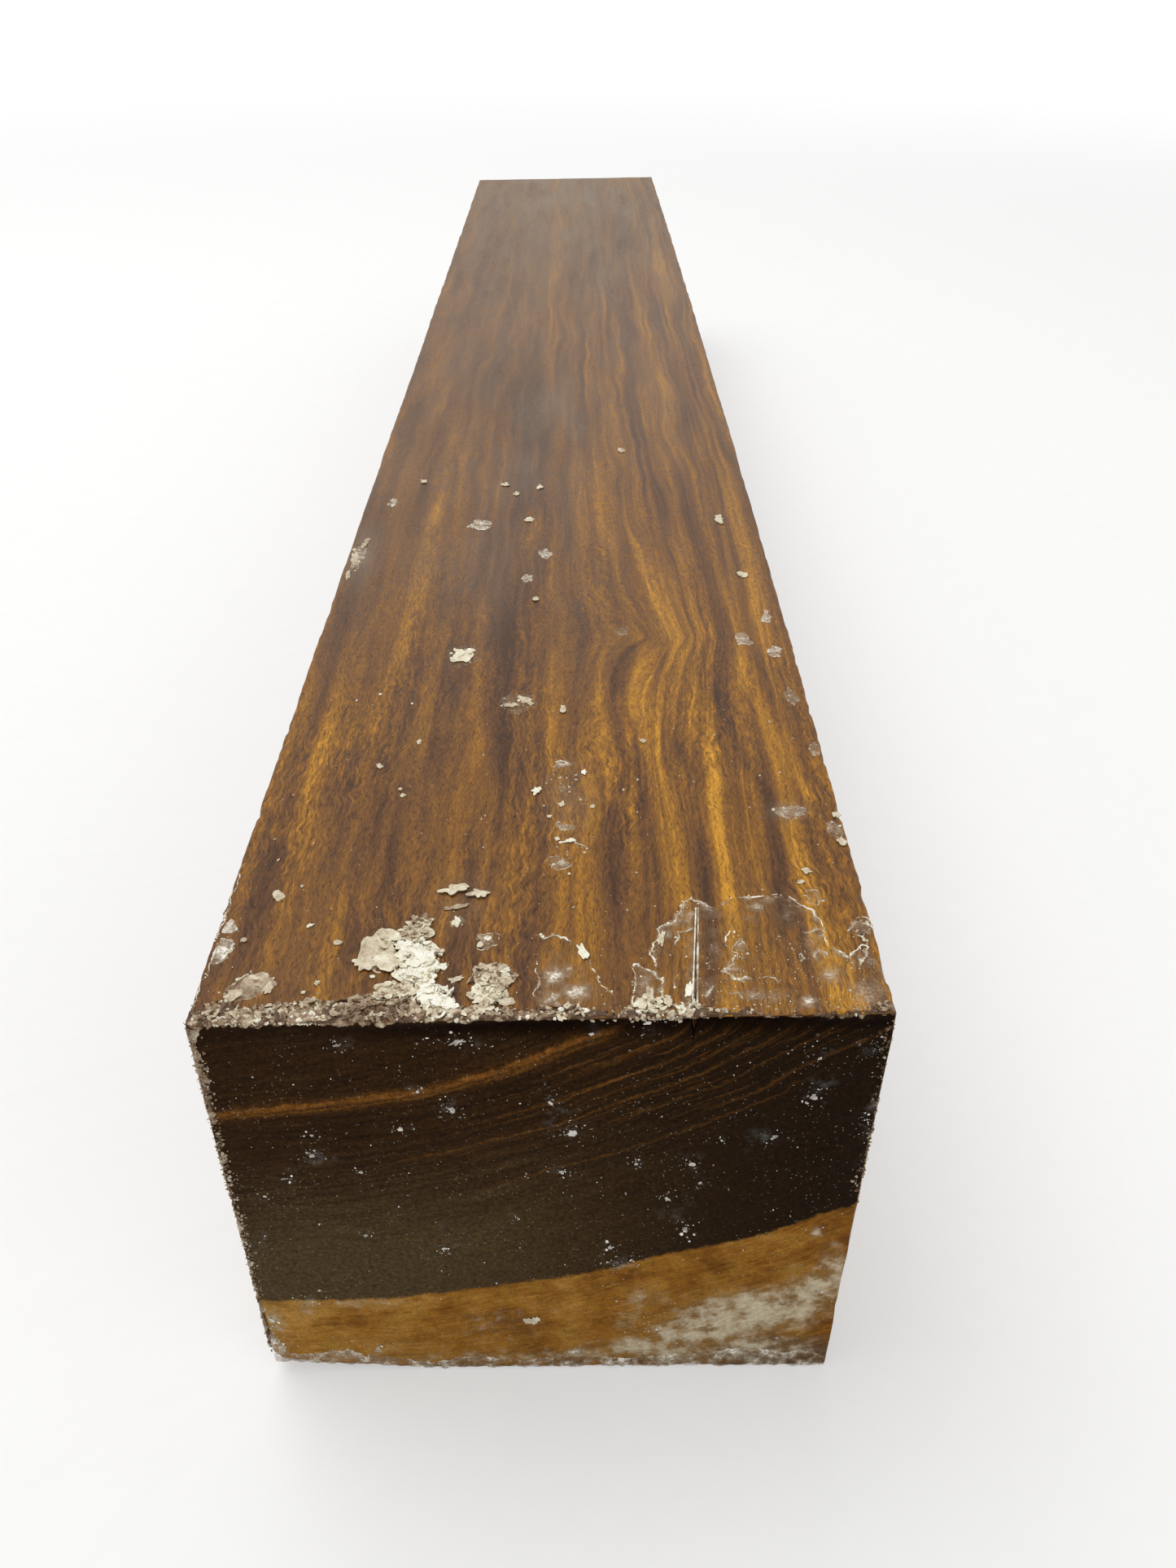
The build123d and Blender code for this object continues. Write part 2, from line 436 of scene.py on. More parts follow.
# Where a breath of wax dulls the wood, rows as in spots(): on the near end (x, z, ...) and on the upper face
# (x, y, ...), where the wide row over the far half is instead a painted sheen, the grey haze of a gloss at a
# low angle
END_BLOOM = [
    (31, 14.5, 12.5, 6.6, 14, 1), (40, 20, 7, 5.2, 40, 0.85), (43, 26, 2.8, 6.4, 20, 0.66),
    (20.5, 9.5, 5.4, 4.4, 0, 0.92), (26, 10.5, 6, 4.6, 0, 0.9), (11.5, 12.5, 2.6, 4.4, 0, 0.5),
    (13, 5.5, 5, 3.2, 0, 0.92), (19, 3.5, 7, 2.6, 0, 0.8), (5, 4, 4, 2.6, 0, 0.65),
    (14.5, 19, 5, 4.5, 0, 0.42), (-38, 18, 1.8, 2.4, 0, 0.7), (-43.5, 13.5, 1.8, 3.4, 0, 0.8),
    (-30, 18.2, 9, 1.5, 4, 0.5), (-8, 12, 12, 6, 0, 0.3), (10, 28.5, 3.4, 2, 0, 0.55),
    (39, 34.5, 1.2, 1.5, 0, 0.7), (32, 5, 14, 3.4, 0, 0.72), (2, 3, 40, 2, 0, 0.5),
    (-11, 75.9, 5, 1.4, 0, 0.55), (-26.5, 75.4, 2.4, 1.6, 0, 0.45), (30, 57, 5, 2.4, 25, 0.4),
    (36, 65, 2.6, 3.2, 0, 0.5), (-32, 53, 3.4, 2.2, 0, 0.42), (-36.5, 48.8, 2, 1.8, 0, 0.42),
    (1, 60, 3, 4, 0, 0.4), (-42.5, 34, 1.6, 2.4, 0, 0.5), (-42, 22, 1.4, 2.6, 0, 0.5),
    (18.5, 40, 2.6, 4.5, 0, 0.38), (43.5, 58, 1.4, 8, 0, 0.5), (-16, 34, 2, 5, 0, 0.35),
]
FACE_BLOOM_AND_SHEEN = [
    (-8, -118, 14, 22, 0, 0.24), (-14, -160, 12, 26, 0, 0.18), (0, -60, 12, 40, 0, 0.30),
    (2.5, -252, 4, 9, 0, 0.22), (36.5, -257, 2.6, 1.8, 0, 0.6), (-42, -160, 3.4, 13, 0, 0.45),
    (0, 330, 70, 270, 0, 0.70), (-12, -276, 4, 5, 0, 0.12),
]
on_near_end = np.abs(outward[:, 1]) * (y < 0.0)
around_specks = [(a, b, 1.1 + 1.2 * wide, 0.9 + 1.1 * long, 0.0, 0.16 + 0.26 * pale)
                 for a, b, wide, long, pale in SPECKS]
bloom = on_near_end * spots(x, z, END_BLOOM + around_specks)
# Painted shade: a near-black band down the near end just under its upper arris, over the hollow there
groove = np.exp(-(((z - LEFT_HEIGHT + 1.7) / 1.3) ** 2))
groove *= on_near_end * (0.55 + 0.45 * smooth(-32.0, -10.0, x))
# Painted sheen: off the near end the mark grows towards the far end, and most where a face looks up, as the
# grey haze of a gloss at a low angle; the rest of it is a real breath of wax
facing_up = 0.35 + 0.65 * np.clip(outward[:, 2], 0.0, 1.0)
far_sheen = 0.14 * smooth(-270.0, -120.0, y)
far_sheen *= 1.0 - 0.6 * smooth(0.0, 26.0, x) * smooth(-60.0, -140.0, y)
bloom += (1.0 - on_near_end) * facing_up * (0.02 + far_sheen + spots(x, y, FACE_BLOOM_AND_SHEEN))

# Colours along the grain: heartwood stripes, sapwood, pores, and the breath of wax, which also paints the
# sheen
DARK = (0.052, 0.021, 0.007)
UMBER = (0.105, 0.043, 0.012)
BROWN = (0.182, 0.076, 0.012)
AMBER = (0.300, 0.132, 0.013)
GOLD = (0.49, 0.230, 0.022)
SAP_DARK = (0.13, 0.043, 0.005)
SAP_MID = (0.27, 0.115, 0.015)
SAP_PALE = (0.42, 0.225, 0.050)
PORE = (0.045, 0.016, 0.005)
BREATH_AND_SHEEN = (0.222, 0.172, 0.128)

# Colours of the ends, where the wood is cut across: heartwood, sapwood, then what lies on them
END_BROWN = (0.032, 0.0135, 0.0035)
# Partly the heartwood's own olive, partly a painted sheen
END_OLIVE_AND_SHEEN = (0.070, 0.044, 0.018)
END_DRY = (0.062, 0.035, 0.013)  # of the far end, which was never waxed
END_RING = (0.015, 0.0065, 0.002)
END_SHADE = (0.010, 0.005, 0.0015)
RUST = (0.185, 0.072, 0.012)
SAP_RED = (0.26, 0.080, 0.010)
SAP_YELLOW = (0.315, 0.170, 0.026)
SAP_DULL = (0.27, 0.175, 0.075)
SAP_GREY = (0.10, 0.066, 0.038)
END_DUST = (0.30, 0.275, 0.24)
END_PORE = (0.012, 0.006, 0.003)
MILK_ON_HEART = (0.15, 0.143, 0.130)
MILK_ON_SAP = (0.57, 0.49, 0.345)
# Painted shade in the hollow under the near end's upper arris
GROOVE_SHADE = (0.005, 0.002, 0.001)


def ring_field(wood, wander_by):
    """The distance from the pith in millimetres, wandering as the tree grew, how far it is sapwood, and the
    place, its x drawn aside by the knot."""
    here = wood.place()
    x, y, z = (wood.node("ShaderNodeSeparateXYZ", {}, {0: here}, output=axis) for axis in range(3))
    wander = wood.noise(wood.place(0.035, 0.007, 0.035), 3.0, 0.55)
    x = x - wood.attribute("drift")
    across = x - PITH_X
    down = z - PITH_Z
    radius = (across * across + down * down).math("SQRT") + wander * wander_by
    ragged = wood.noise(wood.place(0.5, 0.03, 0.5), 3.0, 0.7)
    sapwood = (radius + ragged * 1.6 - x * 0.075).step(SAPWOOD_FROM, SAPWOOD_PURE)
    return radius, sapwood, x, y, z


def long_grain():
    """The dressed and sawn faces along the grain: stripes of the rings, feathered by interlocked fibres."""
    wood = Finish("long_grain", Specular_IOR_Level=0.13, IOR=1.5)
    radius, sapwood, x, y, z = ring_field(wood, 8.0)
    lay = wood.noise(wood.vector(radius * 0.16, y * 0.026, x * 0.08), 1.0, 0.5)
    curl = wood.noise(wood.place(0.20, 0.065, 0.20), 1.0, 0.5)
    leaning = x + lay * 4.5 + curl * 1.6
    swaying = radius + lay * 1.6 + curl * 0.7
    rings = wood.noise(wood.vector(swaying * 0.32, y * 0.0045, leaning * 0.02), 2.0, 0.5)
    flames = wood.noise(wood.vector(swaying * 0.13, y * 0.012, leaning * 0.26), 3.0, 0.6)
    lines = wood.noise(wood.vector(swaying * 1.3, y * 0.011, leaning * 0.06), 2.0, 0.6)
    wave = wood.noise(wood.place(0.12, 0.30, 0.12), 2.0, 0.5)
    waving = leaning + wave * 1.9
    fibres = wood.noise(wood.vector(waving * 1.8, y * 0.24, z * 1.8), 3.0, 0.7)
    hairs = wood.noise(wood.vector(waving * 5.5, y * 0.8, z * 5.5), 2.0, 0.6)
    lively = wood.noise(wood.place(0.09, 0.022, 0.09), 2.0, 0.5).step(-0.18, 0.16) * 0.9 + 0.45
    fibres = fibres * lively
    right, close = x.step(-40.0, 25.0), y.step(-150.0, -240.0)
    share = rings * (right * 0.82 + 0.5)
    share = share + flames * (1.15 - right * 0.20)
    share = share + lines * (right * 0.60 + 0.45)
    share = share + wood.attribute("tone") * (close * 0.07 + 0.25)
    share = share + fibres * (close * 0.25 + 0.5) + hairs * 0.45
    share = share + 0.335 + close * 0.03 + right * 0.04 + right * close * 0.13
    heart = share.tint((0.0, DARK), (0.25, UMBER), (0.5, BROWN), (0.75, AMBER), (1.0, GOLD))
    sap_share = rings * 1.5 + fibres * 1.2 + hairs * 0.6 + 0.48
    sap = sap_share.tint((0.0, SAP_DARK), (0.5, SAP_MID), (1.0, SAP_PALE))
    colour = wood.mix(sapwood, heart, sap)
    colour = wood.dim(colour, fibres * (close * 0.4 + 0.7) + hairs * 0.95 + 1.0)
    pore = wood.cells(wood.vector(waving * 1.9, y * 0.5, z * 1.9)).step(0.26, 0.10)
    dash = hairs.step(-0.10, -0.26) * 0.5
    colour = wood.mix((pore * 0.5 + dash).clip(), colour, PORE)
    # The breath of wax, and over the far half the painted sheen, mixed in as a grey haze
    cloud = wood.noise(wood.place(0.13, 0.020, 0.13), 5.0, 0.7)
    bloom = wood.attribute("bloom") * (cloud.step(-0.20, 0.25) * 0.9 + 0.55)
    colour = wood.mix(bloom.clip(), colour, BREATH_AND_SHEEN)
    rough = 0.40 + bloom * 0.3 + fibres * 0.5 + pore * 0.2
    normal = wood.bump(fibres + hairs * 0.6 - pore * 0.6, 0.09)
    return wood.dress(Base_Color=colour, Roughness=rough.clip(), Normal=normal)


# The rusty rings of the end: (distance from the pith, width, first x, last x, strength)
RUSTY_RINGS = [
    (133.5, 0.50, -70, 13, 0.8), (133.7, 1.25, -70, 8, 0.4), (134.6, 0.20, -46, 6, 0.4),
    (138.3, 0.34, 4, 26, 0.45), (142, 0.30, -12, 28, 0.35), (144.3, 0.20, 8, 34, 0.3),
    (146.6, 0.24, -22, 36, 0.38), (149.7, 0.18, 6, 40, 0.28), (153.5, 0.28, 22, 46, 0.4),
    (155.7, 0.20, -10, 34, 0.32),
]


def end_grain():
    """The sawn ends: dark arcs of the rings with a few rusty ones, olive brown lower down, pale sapwood."""
    wood = Finish("end_grain", Specular_IOR_Level=0.02, IOR=1.5)
    radius, sapwood, x, y, z = ring_field(wood, 5.0)
    ragged = wood.noise(wood.place(0.45, 0.05, 0.45), 5.0, 0.75)
    arcs = wood.noise(wood.vector(radius * 1.1 + ragged * 1.4 + 0.7, x * 0.05, y * 0.01), 4.0, 0.7)
    mottle = wood.noise(wood.place(0.10, 0.02, 0.10), 4.0, 0.6)
    broken = wood.noise(wood.vector(radius * 1.6, x * 0.16, y * 0.01), 3.0, 0.6)
    rust = arcs.step(0.10, 0.28) * x.step(-25.0, 20.0) * radius.step(165.0, 140.0) * 0.35
    for ring, width, first, last, strength in RUSTY_RINGS:
        fade = x.step(first - 4.0, first + 8.0) * x.step(last + 6.0, last - 6.0)
        line = (radius + ragged * 2.0).hump(ring, width)
        rust = rust + line * fade * (broken * 2.4 + 0.80).clip() * strength
    fine = wood.noise(wood.vector(radius * 2.6 + ragged * 2.2 + 1.1, x * 0.07, y * 0.01), 3.0, 0.7)
    upper_right = radius.step(158.0, 146.0) * radius.step(133.0, 138.0) * x.step(-22.0, 12.0)
    rust = rust + fine.step(0.05, 0.20) * upper_right * 0.50
    rust = rust + fine.step(0.12, 0.30) * x.step(20.0, -30.0) * 0.16
    # Painted sheen, in part: the lower left of the end turns olive brown, partly the heartwood's own colour
    # and partly the grey haze of a gloss
    lower = radius.step(138.0, 170.0) * x.step(38.0, -34.0) * 1.15 + mottle * 0.7 + arcs * 0.5
    dark = wood.mix(lower.clip(), END_BROWN, END_OLIVE_AND_SHEEN)
    dark = wood.mix(y.step(0.0, 10.0) * 0.6, dark, END_DRY)
    dark = wood.mix(arcs.step(0.10, -0.14) * radius.step(175.0, 138.0) * 0.7, dark, END_RING)
    dark = wood.mix(x.step(-12.0, 42.0) * y.step(0.0, -10.0) * 0.86, dark, END_SHADE)
    dark = wood.mix(rust.clip(), dark, RUST)
    dark = wood.dim(dark, ragged * 1.1 + fine * radius.step(168.0, 135.0) + 1.0)
    grain = wood.noise(wood.vector(radius * 1.9, x * 0.22, y * 0.01), 3.0, 0.7)
    sap_share = arcs * 0.8 + mottle * 2.3 + grain * 0.9 + 0.54 - x * 0.0052
    sap_share = sap_share - x.hump(-16.0, 17.0) * radius.step(178.0, 186.0) * 0.13
    sap = sap_share.tint((0.0, SAP_DARK), (0.5, SAP_MID), (1.0, SAP_PALE))
    sap = wood.mix(((mottle - 0.02) * 3.0).clip() * 0.45, sap, SAP_RED)
    yellow = wood.noise(wood.place(0.13, 0.02, 0.17), 4.0, 0.65)
    sap = wood.mix(yellow.step(0.0, 0.16) * 0.5, sap, SAP_YELLOW)
    sap = wood.dim(sap, 1.0 - yellow.step(-0.02, -0.16) * 0.24)
    sap = wood.dim(sap, ragged * 1.1 + fine * 0.7 + 1.0)
    # On the near end this is the breath of wax; on the far end it is the painted sheen, which dulls that end
    # too
    bloom = wood.attribute("bloom")
    sap = wood.mix(bloom.step(0.12, 0.75) * 0.6, sap, SAP_DULL)
    low_right = x.step(14.0, 36.0) * (z + ragged * 9.0).step(10.0, 4.0)
    sap = wood.mix(low_right * 0.7, sap, SAP_GREY)
    colour = wood.mix(sapwood, dark, sap)
    grit = wood.noise(wood.place(1.5, 0.3, 1.5), 4.0, 0.8)
    colour = wood.dim(colour, grit * (3.4 - sapwood * 2.2) + 1.0)
    motes = wood.cells(wood.place(1.25, 0.4, 1.25)).step(0.17, 0.07)
    colour = wood.mix(motes * mottle.step(-0.10, 0.10) * 0.75, colour, END_DUST)
    pore = wood.cells(wood.place(2.4, 0.3, 2.4)).step(0.27, 0.12)
    colour = wood.mix(pore * 0.5, colour, END_PORE)
    cloud = wood.noise(wood.place(0.24, 0.1, 0.24), 6.0, 0.66)
    crumble = wood.noise(wood.place(1.6, 1.0, 1.6), 3.0, 0.7)
    clumps = wood.noise(wood.place(0.42, 0.1, 0.42), 2.0, 0.55)
    milk = bloom + cloud * 1.6 + clumps * 2.0 + crumble * 0.6
    milk = milk.step(0.20, 1.15) * (bloom * 1.6).clip()
    milky = wood.mix(sapwood, MILK_ON_HEART, MILK_ON_SAP)
    milky = wood.dim(milky, grain * 0.5 + grit + 1.0)
    colour = wood.mix((milk * (grain * 0.6 + 0.95)).clip(), colour, milky)
    # Painted shade: the band under the upper arris, over the hollow, is painted near black
    torn = wood.attribute("groove") * (ragged * 0.9 + 0.90)
    colour = wood.mix(torn.clip(), colour, GROOVE_SHADE)
    rough = 0.5 + mottle * 0.4 + pore * 0.2
    normal = wood.bump(ragged - pore * 0.5 + milk * 0.4, 0.07)
    return wood.dress(Base_Color=colour, Roughness=rough.clip(), Normal=normal)


marks = {"tone": tone, "drift": drift, "bloom": bloom, "groove": groove}
blank = solid("blank", points, quads, long_grain(), marks)
blank.data.materials.append(end_grain())
blank.data.polygons.foreach_set("material_index", on_end.astype(np.int32))
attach(blank, "root")
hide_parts("lignum_vitae_block")

# Sealing wax: the near end was dipped in hot wax against drying, and most of it has since cracked off. A thin
# tan sheet of it is left over the near arris, rough with brittle cream grains where it was thick.
ARRIS = 0.55  # radius of the worn near arris under the wax
QUARTER = ARRIS * math.pi / 4.0  # half the way round that arris
DIP = 0.22  # how deep a sheet's rim goes into the wood, where the sheet ends
BACKING = 0.40  # how deep its underside lies
RIM_BEFORE, RIM_AFTER = 0.16, 0.14  # how far outside and inside its outline a sheet's rim rises


def near_skin(u, v):
    """The wood around the near arris, as points and normals. u is X, and v is the way along the wood from
    the arris: over the upper face where positive, down the near end where negative, round the arc between."""
    turn = np.clip((QUARTER - v) / (2.0 * QUARTER), 0.0, 1.0) * math.pi / 2.0
    y = NEAR + ARRIS - ARRIS * np.sin(turn) + np.clip(v - QUARTER, 0.0, None)
    z = upper(u) - ARRIS + ARRIS * np.cos(turn) - np.clip(-v - QUARTER, 0.0, None)
    level = z * LEFT_HEIGHT / upper(u)
    y = y + (hollow(u, level) * smooth(0.0, 0.8, LEFT_HEIGHT - level) - end_relief(u, level)) * np.sin(turn)
    z = z + upper_relief(u, y) * np.cos(turn)
    return np.stack([u, y, z], -1), np.stack([0.0 * u, -np.sin(turn), np.cos(turn)], -1)


def sheet(skin, u, v, inside, rise, value):
    """A closed sheet of wax on a skin of the wood: its top is skin + normal * height, where the height goes
    from -DIP outside the outline up to rise inside it, and its underside lies BACKING under the wood.
    Grid cells well outside the outline are left out, and a wall closes the rim."""
    points, normals = skin(u, v)
    height = -DIP + (rise + DIP) * smooth(-RIM_BEFORE, RIM_AFTER, inside)
    top = points + normals * height[..., None]
    under = points - normals * BACKING
    numbers = np.arange(u.size).reshape(u.shape)
    cells = [numbers[:-1, :-1], numbers[1:, :-1], numbers[1:, 1:], numbers[:-1, 1:]]
    cells = np.stack(cells, -1).reshape(-1, 4)
    cells = cells[(inside.ravel()[cells] > -RIM_BEFORE).any(1)]
    rims = np.stack([cells, np.roll(cells, -1, 1)], -1).reshape(-1, 2)
    codes = rims[:, 0] * u.size + rims[:, 1]
    outer = rims[~np.isin(codes, rims[:, 1] * u.size + rims[:, 0])]
    walls = np.stack([outer[:, 1], outer[:, 0], outer[:, 0] + u.size, outer[:, 1] + u.size], 1)
    faces = np.concatenate([cells, cells[:, ::-1] + u.size, walls])
    used, faces = np.unique(faces, return_inverse=True)
    both = np.concatenate([top.reshape(-1, 3), under.reshape(-1, 3)])[used]
    return both, faces.reshape(-1, 4), np.tile(inside.ravel(), 2)[used], np.tile(value.ravel(), 2)[used]


def joined(parts):
    """One list of points, faces and values for each point from several such lists."""
    starts = np.cumsum([0] + [len(part[0]) for part in parts[:-1]])
    faces = np.concatenate([part[1] + start for part, start in zip(parts, starts)])
    columns = [np.concatenate(column) for column in list(zip(*parts))[2:]]
    return (np.concatenate([part[0] for part in parts]), faces, *columns)


def mesh_grid(u_range, v_range, u_step, v_step):
    """Two arrays with the u and v of a grid over a rectangle, in equal steps."""
    u = np.arange(u_range[0], u_range[1] + u_step, u_step)
    v = np.arange(v_range[0], v_range[1] + v_step, v_step)
    return np.meshgrid(u, v, indexing="ij")


def old_wax(name, *stops):
    """Old opaque wax, its colour chosen by the attribute shade: 0 is dusty and dark, 1 is clean and pale."""
    wax = Finish(name, Specular_IOR_Level=0.35, IOR=1.45)
    lumps = wax.noise(wax.place(0.9, 0.9, 0.9), 4.0, 0.65)
    grains = wax.noise(wax.place(3.4, 3.4, 3.4), 3.0, 0.7)
    share = wax.attribute("shade") + lumps * 0.6 + grains * 0.55
    normal = wax.bump(lumps + grains, 0.07)
    rough = 0.5 - lumps * 0.7
    return wax.dress(Base_Color=share.tint(*stops), Roughness=rough.clip(), Normal=normal)


def cream_stops(white):
    """Colours of the wax from dusty brown through tan and cream to the given white."""
    return ((0.0, (0.07, 0.035, 0.015)), (0.2, (0.19, 0.11, 0.055)), (0.4, (0.36, 0.27, 0.175)),
            (0.6, (0.56, 0.48, 0.34)), (0.8, (0.71, 0.665, 0.50)), (1.0, white))


# The band of wax over the arris: (x, how far it reaches over the upper face, shade)
BAND = np.array([
    (-45, 3, 0.48), (-42, 4, 0.46), (-41, 4.5, 0.42), (-39, 2.5, 0.45), (-36, 2.8, 0.48), (-33, 3.5, 0.45),
    (-29, 3.8, 0.42), (-26, 3.3, 0.36), (-24, 4.2, 0.32), (-22, 5.3, 0.32), (-18, 5, 0.38),
    (-14.5, 3, 0.70), (-12, 2.2, 0.82), (-9, 2.2, 0.60), (-4, 1.6, 0.50), (-1, 2, 0.42), (3, 2.5, 0.42),
    (7, 1.8, 0.40), (9, 1, 0.40), (11, 2, 0.60), (12, 3.4, 0.64), (15, 3.2, 0.62), (16, 1.8, 0.55),
    (18, 2.6, 0.58), (20, 2.2, 0.44), (22, 0.7, 0.24), (24, 1.4, 0.20), (27, 0.9, 0.14), (29, 0.4, 0.12),
    (33, 0.3, 0.12), (36, 0.3, 0.12), (40, 0.5, 0.14), (42, 1.5, 0.24), (43.5, 1.8, 0.28), (45, 0.8, 0.20),
], float)


def band_reach(u):
    """How far the band reaches over the upper face at u, joined evenly between the rows of BAND."""
    return np.interp(u, BAND[:, 0], BAND[:, 1])


def band_shade(u):
    """The band's shade at u, joined evenly between the rows of BAND."""
    return np.interp(u, BAND[:, 0], BAND[:, 2])


u, v = mesh_grid((LEFT + 0.3, RIGHT - 0.3), (-0.9, 6.4), 0.2, 0.16)
crumble = hills(u / 0.8, v / 0.8, 32, 3)
patches = hills(u / 2.6, v / 2.6, 31, 3)
inside = np.minimum(band_reach(u) * 0.92 - v, v + 0.30) + 0.42 * crumble + 0.45 * patches - 0.12
rise = 0.09 + 0.16 * np.abs(hills(u / 0.7, v / 0.7, 33, 3)) + 0.08 * patches
shade = band_shade(u) * 0.46 - 0.10 + 0.18 * patches + 0.34 * crumble - 0.12 * smooth(0.7, 0.0, inside)
parts = [sheet(near_skin, u, v, inside, np.clip(rise, 0.06, None), shade)]

# Two thin ridges of white wax stand where the wax tore off straight along both sides of the check
aside, v = mesh_grid((-0.8, 0.8), (1.0, 20.6), 0.05, 0.25)
u = CHECK_MOUTH_X + CHECK_DRIFT * v / CHECK_LENGTH + aside
opening = 0.8 * CHECK_HALF_WIDTH * (1.0 - v / CHECK_LENGTH) + 0.07
left_ridge = 0.10 + 0.05 * hills(v / 0.9, 0.0 * v, 34, 3) - np.abs(aside + opening + 0.11)
right_ridge = 0.07 + 0.06 * hills(v / 0.7, 0.0 * v, 35, 3) - np.abs(aside - opening - 0.09)
inside = 2.6 * np.maximum(left_ridge, right_ridge)
shade = 0.88 + 0.18 * hills(u / 0.5, v / 0.5, 36, 2)
parts.append(sheet(near_skin, u, v, inside, 0.13 + 0.05 * hills(v / 0.5, u, 37, 2), shade))
points, faces, inside, shade = joined(parts)
crust_wax = old_wax("crust_wax", *cream_stops((0.84, 0.83, 0.75)))
crust = solid("wax_crust", points, faces, crust_wax, {"shade": shade})
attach(crust, "root")


# Loose grains of the same wax: what crumbled off the crust and stayed on it, a white line of them along the
# left part of the arris, and a few that hang down over the near end.
def seat(skin, u, v, turn, lean, random):
    """Where small things sit on a skin, as places and three directions for each: two along the wood, turned
    by turn in radians, and the one away from it, tipped at random by about lean radians."""
    places, away = skin(u, v)
    beside = skin(u + 0.01, v)[0] - places
    away = away + random.normal(0.0, 1.0, away.shape) * lean
    away = away / np.linalg.norm(away, axis=1, keepdims=True)
    beside = beside - away * (beside * away).sum(1, keepdims=True)
    beside = beside / np.linalg.norm(beside, axis=1, keepdims=True)
    ahead = np.cross(away, beside)
    first = beside * np.cos(turn)[:, None] + ahead * np.sin(turn)[:, None]
    return places, first, np.cross(away, first), away


def set_down(shape, faces, seats, shade):
    """Copies of a shape, given as points in (along, ahead, away) for each copy, moved to their seats."""
    places, first, second, away = seats
    points = places[:, None] + shape[..., :1] * first[:, None]
    points = points + shape[..., 1:2] * second[:, None] + shape[..., 2:] * away[:, None]
    starts = np.arange(len(places)) * shape.shape[1]
    faces = faces[None] + starts[:, None, None]
    return points.reshape(-1, 3), faces.reshape(-1, 4), shade.ravel()


def crumbs(skin, u, v, size, shade, seed, flat=0.75):
    """Grains that sit on a skin: each a cube blown onto a ball, whose points are then moved in or out at
    random, and which is stretched and pressed flat. Half of it is under the wood or the wax below it."""
    random = np.random.default_rng(seed)
    lines = np.array([-1.0, 0.0, 1.0])
    cube, faces, _ = box_skin(lines, lines, lines)
    ball = cube / np.linalg.norm(cube, axis=1, keepdims=True)
    shape = ball * random.uniform(0.70, 1.25, (len(u), len(ball), 1))
    shape = shape * random.uniform(0.7, 1.4, (len(u), 1, 3)) * (1.0, 1.0, flat) * size[:, None, None]
    shape[..., 2] += 0.25 * size[:, None] * flat
    tints = shade[:, None] + random.normal(0.0, 0.03, (len(u), len(ball)))
    seats = seat(skin, u, v, random.uniform(0.0, 6.28, len(u)), 0.25, random)
    return set_down(shape, faces, seats, tints)


def scattered(random, skin, u, v, size, shade, seed, grow=1.0, base=0.0, flat=0.75):
    """Grains of random sizes and shades. The sizes are a lognormal draw, (middle, spread, smallest, largest)
    with what lies beyond cut off, times grow. The shades are a normal draw, (middle, spread), plus base."""
    middle, spread, smallest, largest = size
    sizes = np.clip(random.lognormal(middle, spread, len(u)), smallest, largest) * grow
    return crumbs(skin, u, v, sizes, base + random.normal(*shade, len(u)), seed, flat)


def loose(name, parts, wax):
    """One piece with flat faces from several parts, each points, faces and shades."""
    points, faces, shade = joined(parts)
    return solid(name, points, faces, wax, {"shade": shade}, smooth_shaded=False)


random = np.random.default_rng(51)
u = random.uniform(LEFT + 0.5, RIGHT - 0.4, 7200)
v = -0.15 + (band_reach(u) + 0.35) * random.uniform(0.0, 1.0, u.size) ** 0.85
thick = 0.55 + 0.5 * hills(u / 2.6, v / 2.6, 31, 3)
kept = random.uniform(0.0, 1.0, u.size) < band_reach(u) / 7.5 * thick
u, v = u[kept], v[kept]
crust_grains = scattered(random, near_skin, u, v, (-1.72, 0.42, 0.07, 0.42), (-0.10, 0.34), 52,
                         base=band_shade(u))
u = random.uniform(-44.6, -27.5, 150)
v = random.normal(0.02, 0.10, u.size)
arris_line = crumbs(near_skin, u, v, random.uniform(0.08, 0.20, u.size), random.normal(0.78, 0.1, u.size), 53)
u = random.normal(15.0, 3.2, 60)
v = random.uniform(-1.7, 0.3, u.size)
hanging = crumbs(near_skin, u, v, random.uniform(0.10, 0.32, u.size), random.normal(0.6, 0.15, u.size), 54)
cream = old_wax("cream_wax", *cream_stops((0.84, 0.82, 0.72)))
grains = loose("wax_grains", [crust_grains, arris_line, hanging], cream)
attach(grains, "root")

